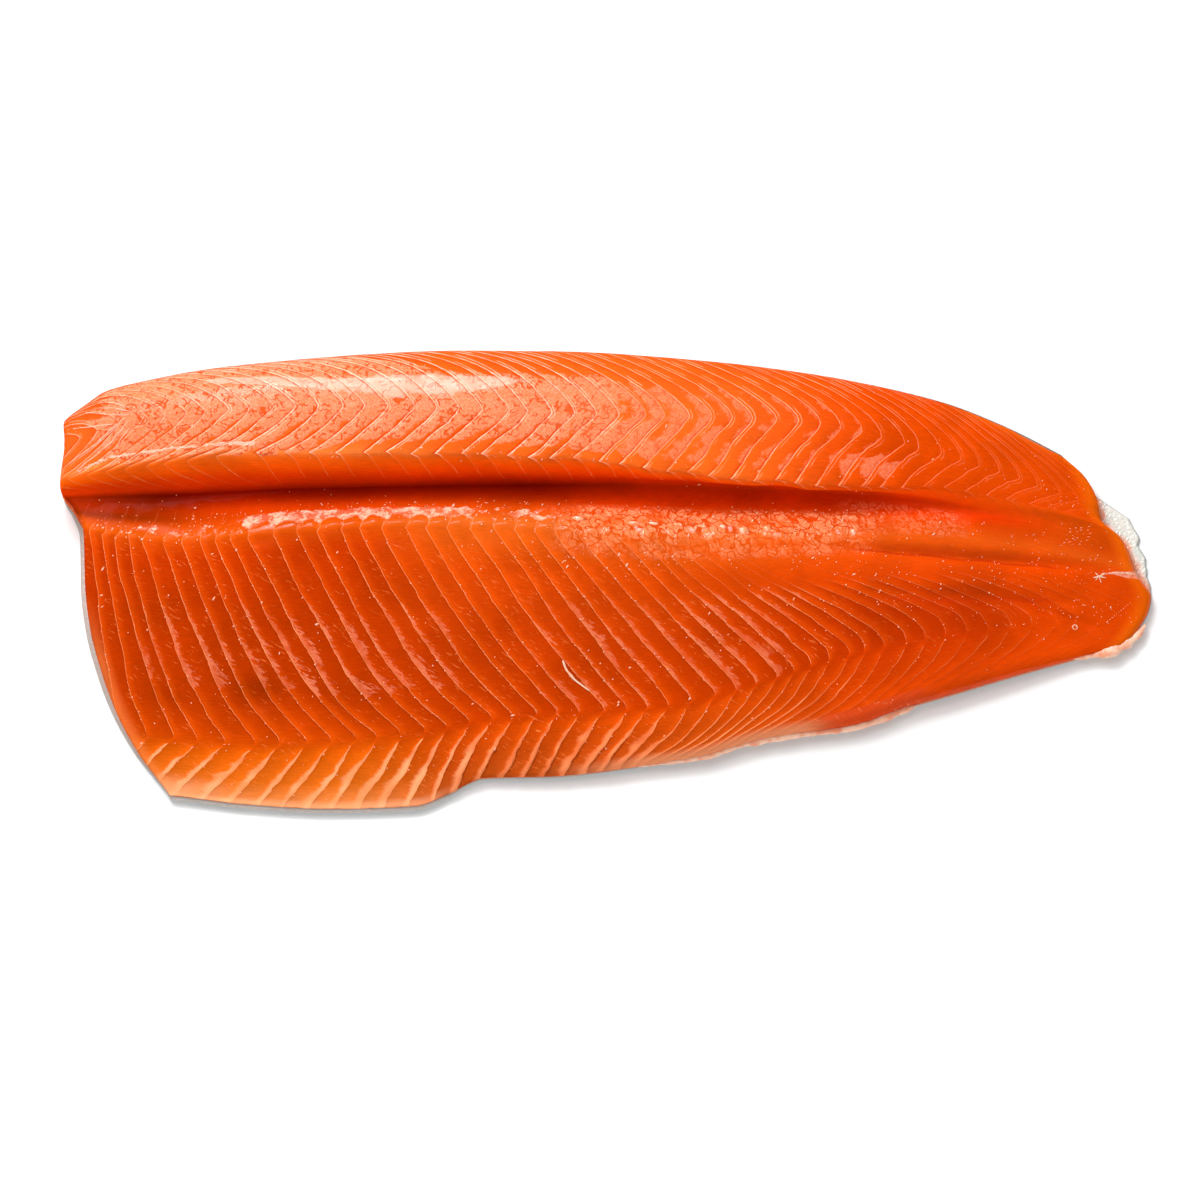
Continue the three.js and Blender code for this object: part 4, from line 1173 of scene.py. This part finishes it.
loose = picker.choice(top_count, LOOSE_BEADS, replace=False, p=wished / wished.sum())
on_sheet = np.flatnonzero(open_top & (phase < 0.06) & ~on_loin & (t > 3.9) & (seams > 0.3))
strung = picker.choice(on_sheet, SHEET_BEADS, replace=False)


def bead_mesh(beads):
    """Low domes on the flesh, each given by its middle, half-length, half-width, turn and height."""
    verts, made = [], []
    for centre, long, wide, turn, high in beads:
        start = len(verts)
        for share, rise in BEAD_RINGS:
            for k in range(BEAD_SIDES):
                angle = 2 * np.pi * k / BEAD_SIDES
                a, b = np.cos(angle) * long * share, np.sin(angle) * wide * share
                verts.append((centre[0] + a * np.cos(turn) - b * np.sin(turn),
                              centre[1] + a * np.sin(turn) + b * np.cos(turn),
                              centre[2] - 0.12 + (rise * high + 0.12) * (rise > 0)))
        verts.append((centre[0], centre[1], centre[2] + 1.05 * high))
        for k in range(BEAD_SIDES):
            n = (k + 1) % BEAD_SIDES
            made.append((start + k, start + n, start + BEAD_SIDES + n, start + BEAD_SIDES + k))
            made.append((start + BEAD_SIDES + k, start + BEAD_SIDES + n, start + 2 * BEAD_SIDES))
        made.append(tuple(start + k for k in range(BEAD_SIDES))[::-1])
    return np.array(verts), made


bead_list = []
kept_off = picker.uniform(-1.3, 1.3, (LOOSE_BEADS, 2))
for at_point, (aside_s, aside_y) in zip(loose, kept_off):
    size = (0.17 + 0.26 * picker.random() ** 3) * mix(1.0, 0.72, rise_between(spots[at_point, 0], 270, 310))
    there = (s[at_point] + aside_s, y[at_point] + aside_y)
    nearest = np.argmin((s - there[0]) ** 2 + (y - there[1]) ** 2)
    bead_list.append(((there[0], there[1], z[nearest]), size * (1 + 2.2 * picker.random() ** 3), size,
                      picker.uniform(0.2, 1.3), 0.75 * size))
for at_point in strung:
    size = 0.16 + 0.16 * picker.random() ** 2
    bead_list.append((spots[at_point], size * 1.3, size, picker.uniform(0, np.pi), 0.75 * size))
ring_turns = np.arange(8) * np.pi / 4
around = [(RING_CENTRE[0] + RING_RADIUS * np.cos(a), RING_CENTRE[1] + RING_RADIUS * np.sin(a))
    for a in ring_turns]
dashes = [tuple(mix(np.array(CUT_LINE[0]), np.array(CUT_LINE[1]), k / 10)) for k in range(11)]
gleams = [(GLEAM_START[0] + GLEAM_STEP[0] * i + 0.5 * j + picker.uniform(-0.9, 0.9), GLEAM_START[1]
    + GLEAM_STEP[1] * j + 0.3 * i + picker.uniform(-0.3, 0.3)) for j in range(6) for i in range(4)]
for there in gleams:
    nearest = np.argmin((s - there[0]) ** 2 + (y - there[1]) ** 2)
    bead_list.append(((there[0], there[1], z[nearest]), picker.uniform(0.35, 0.8), 0.14,
        picker.uniform(0, 0.3), 0.1))
for there, size, flat in [(p, 0.42, 0.5) for p in around] + [(p, 0.24, 0.6) for p in dashes]:
    nearest = np.argmin((s - there[0]) ** 2 + (y - there[1]) ** 2)
    bead_list.append(((there[0], there[1], z[nearest]), size, size, 0.0, flat * size))
for at_s, at_y, long, wide in PEARLS:
    nearest = np.argmin((s - at_s) ** 2 + (y - at_y) ** 2)
    bead_list.append(((at_s, at_y, z[nearest]), long, wide, -0.1, 0.5 * wide))
bead_spots, bead_faces = bead_mesh(bead_list)
beads = new_piece("moisture_beads", bead_spots, bead_faces)
juice, mixer = new_material("beads of juice")
place = mixer.node("ShaderNodeTexCoord").outputs["Object"]
juice_tone = mixer.blend(mixer.fade(mixer.noise(place, 500, 1), 0.4, 0.6), tone(240, 136, 84),
    tone(240, 184, 156))
shader = mixer.node("ShaderNodeBsdfPrincipled", {
    "Base Color": juice_tone, "Roughness": 0.25, "IOR": 1.36, "Specular IOR Level": 0.3, "Coat Weight": 0.4,
    "Coat Roughness": 0.05})
mixer.node("ShaderNodeOutputMaterial", {"Surface": shader.outputs[0]})
beads.data.materials.append(juice)
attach(beads, "root")

# ---------------------------------------------------------------------------------------------
# White table, soft boxes and camera. The table is a plain white board, staged because it is no part of
# the fillet. Two soft boxes behind it give the gloss, and two broad lights fill in without any.
# ---------------------------------------------------------------------------------------------
FLOOR_SIZE = 8.0
table_mesh = bpy.data.meshes.new("white table")
half = FLOOR_SIZE / 2
table_mesh.from_pydata([(-half, -half, 0), (half, -half, 0), (half, half, 0), (-half, half, 0)], [],
    [(0, 1, 2, 3)])
table = bpy.data.objects.new("white table", table_mesh)
bpy.context.scene.collection.objects.link(table)
white_table, mixer = new_material("white table top")
shader = mixer.node("ShaderNodeBsdfPrincipled", {"Base Color": (0.84, 0.84, 0.84, 1), "Roughness": 0.9,
                                                 "Specular IOR Level": 0.0})
mixer.node("ShaderNodeOutputMaterial", {"Surface": shader.outputs[0]})
table_mesh.materials.append(white_table)


def soft_box(name, place, target, wide, deep, watts, in_gloss=True):
    light = bpy.data.lights.new(name, "AREA")
    light.shape, light.size, light.size_y, light.energy = "RECTANGLE", wide, deep, watts
    made = bpy.data.objects.new(name, light)
    made.location = place
    made.rotation_euler = (Vector(target) - Vector(place)).to_track_quat("-Z", "Y").to_euler()
    made.visible_glossy = in_gloss
    bpy.context.scene.collection.objects.link(made)
    return made


soft_box("bright back soft box", (-0.42, 0.85, 0.92), (-0.05, 0.02, 0.0), 0.85, 0.42, 18.0)
soft_box("dim overhead soft box", (-0.32, 0.45, 1.11), (-0.05, 0.02, 0.0), 0.62, 0.42, 2.7)
soft_box("broad back light", (-0.2, 0.75, 1.35), (0, 0, 0), 1.8, 1.4, 6.0, in_gloss=False)
soft_box("front fill", (0.1, -1.9, 0.9), (0, 0, 0), 2.4, 1.2, 21.0, in_gloss=False)
studio = bpy.data.worlds.new("pale studio")
studio.use_nodes = True
studio.node_tree.nodes["Background"].inputs[0].default_value = (1, 1, 1, 1)
studio.node_tree.nodes["Background"].inputs[1].default_value = 0.4
bpy.context.scene.world = studio
studio.cycles_visibility.glossy = False

ELEVATION = np.radians(76)
CAMERA_DISTANCE, SENSOR_WIDTH, LENS, FARTHEST_SEEN = 2.0, 36, 163.13, 20
AIM_TO_HEAD, AIM_BELOW = 2.27 * MM, 5.91 * MM
toward_camera = Vector((0, -np.cos(ELEVATION), np.sin(ELEVATION)))
picture_up = Vector((0, np.sin(ELEVATION), np.cos(ELEVATION)))
aim = Vector((-AIM_TO_HEAD, 0, 0)) - picture_up * AIM_BELOW
camera_data = bpy.data.cameras.new("camera")
camera_data.sensor_width, camera_data.lens = SENSOR_WIDTH, LENS
camera_data.clip_end = FARTHEST_SEEN
camera = bpy.data.objects.new("camera", camera_data)
camera.location = aim + toward_camera * CAMERA_DISTANCE
camera.rotation_euler = (-toward_camera).to_track_quat("-Z", "Y").to_euler()
bpy.context.scene.collection.objects.link(camera)
bpy.context.scene.camera = camera
bpy.context.scene.view_settings.view_transform = "Standard"
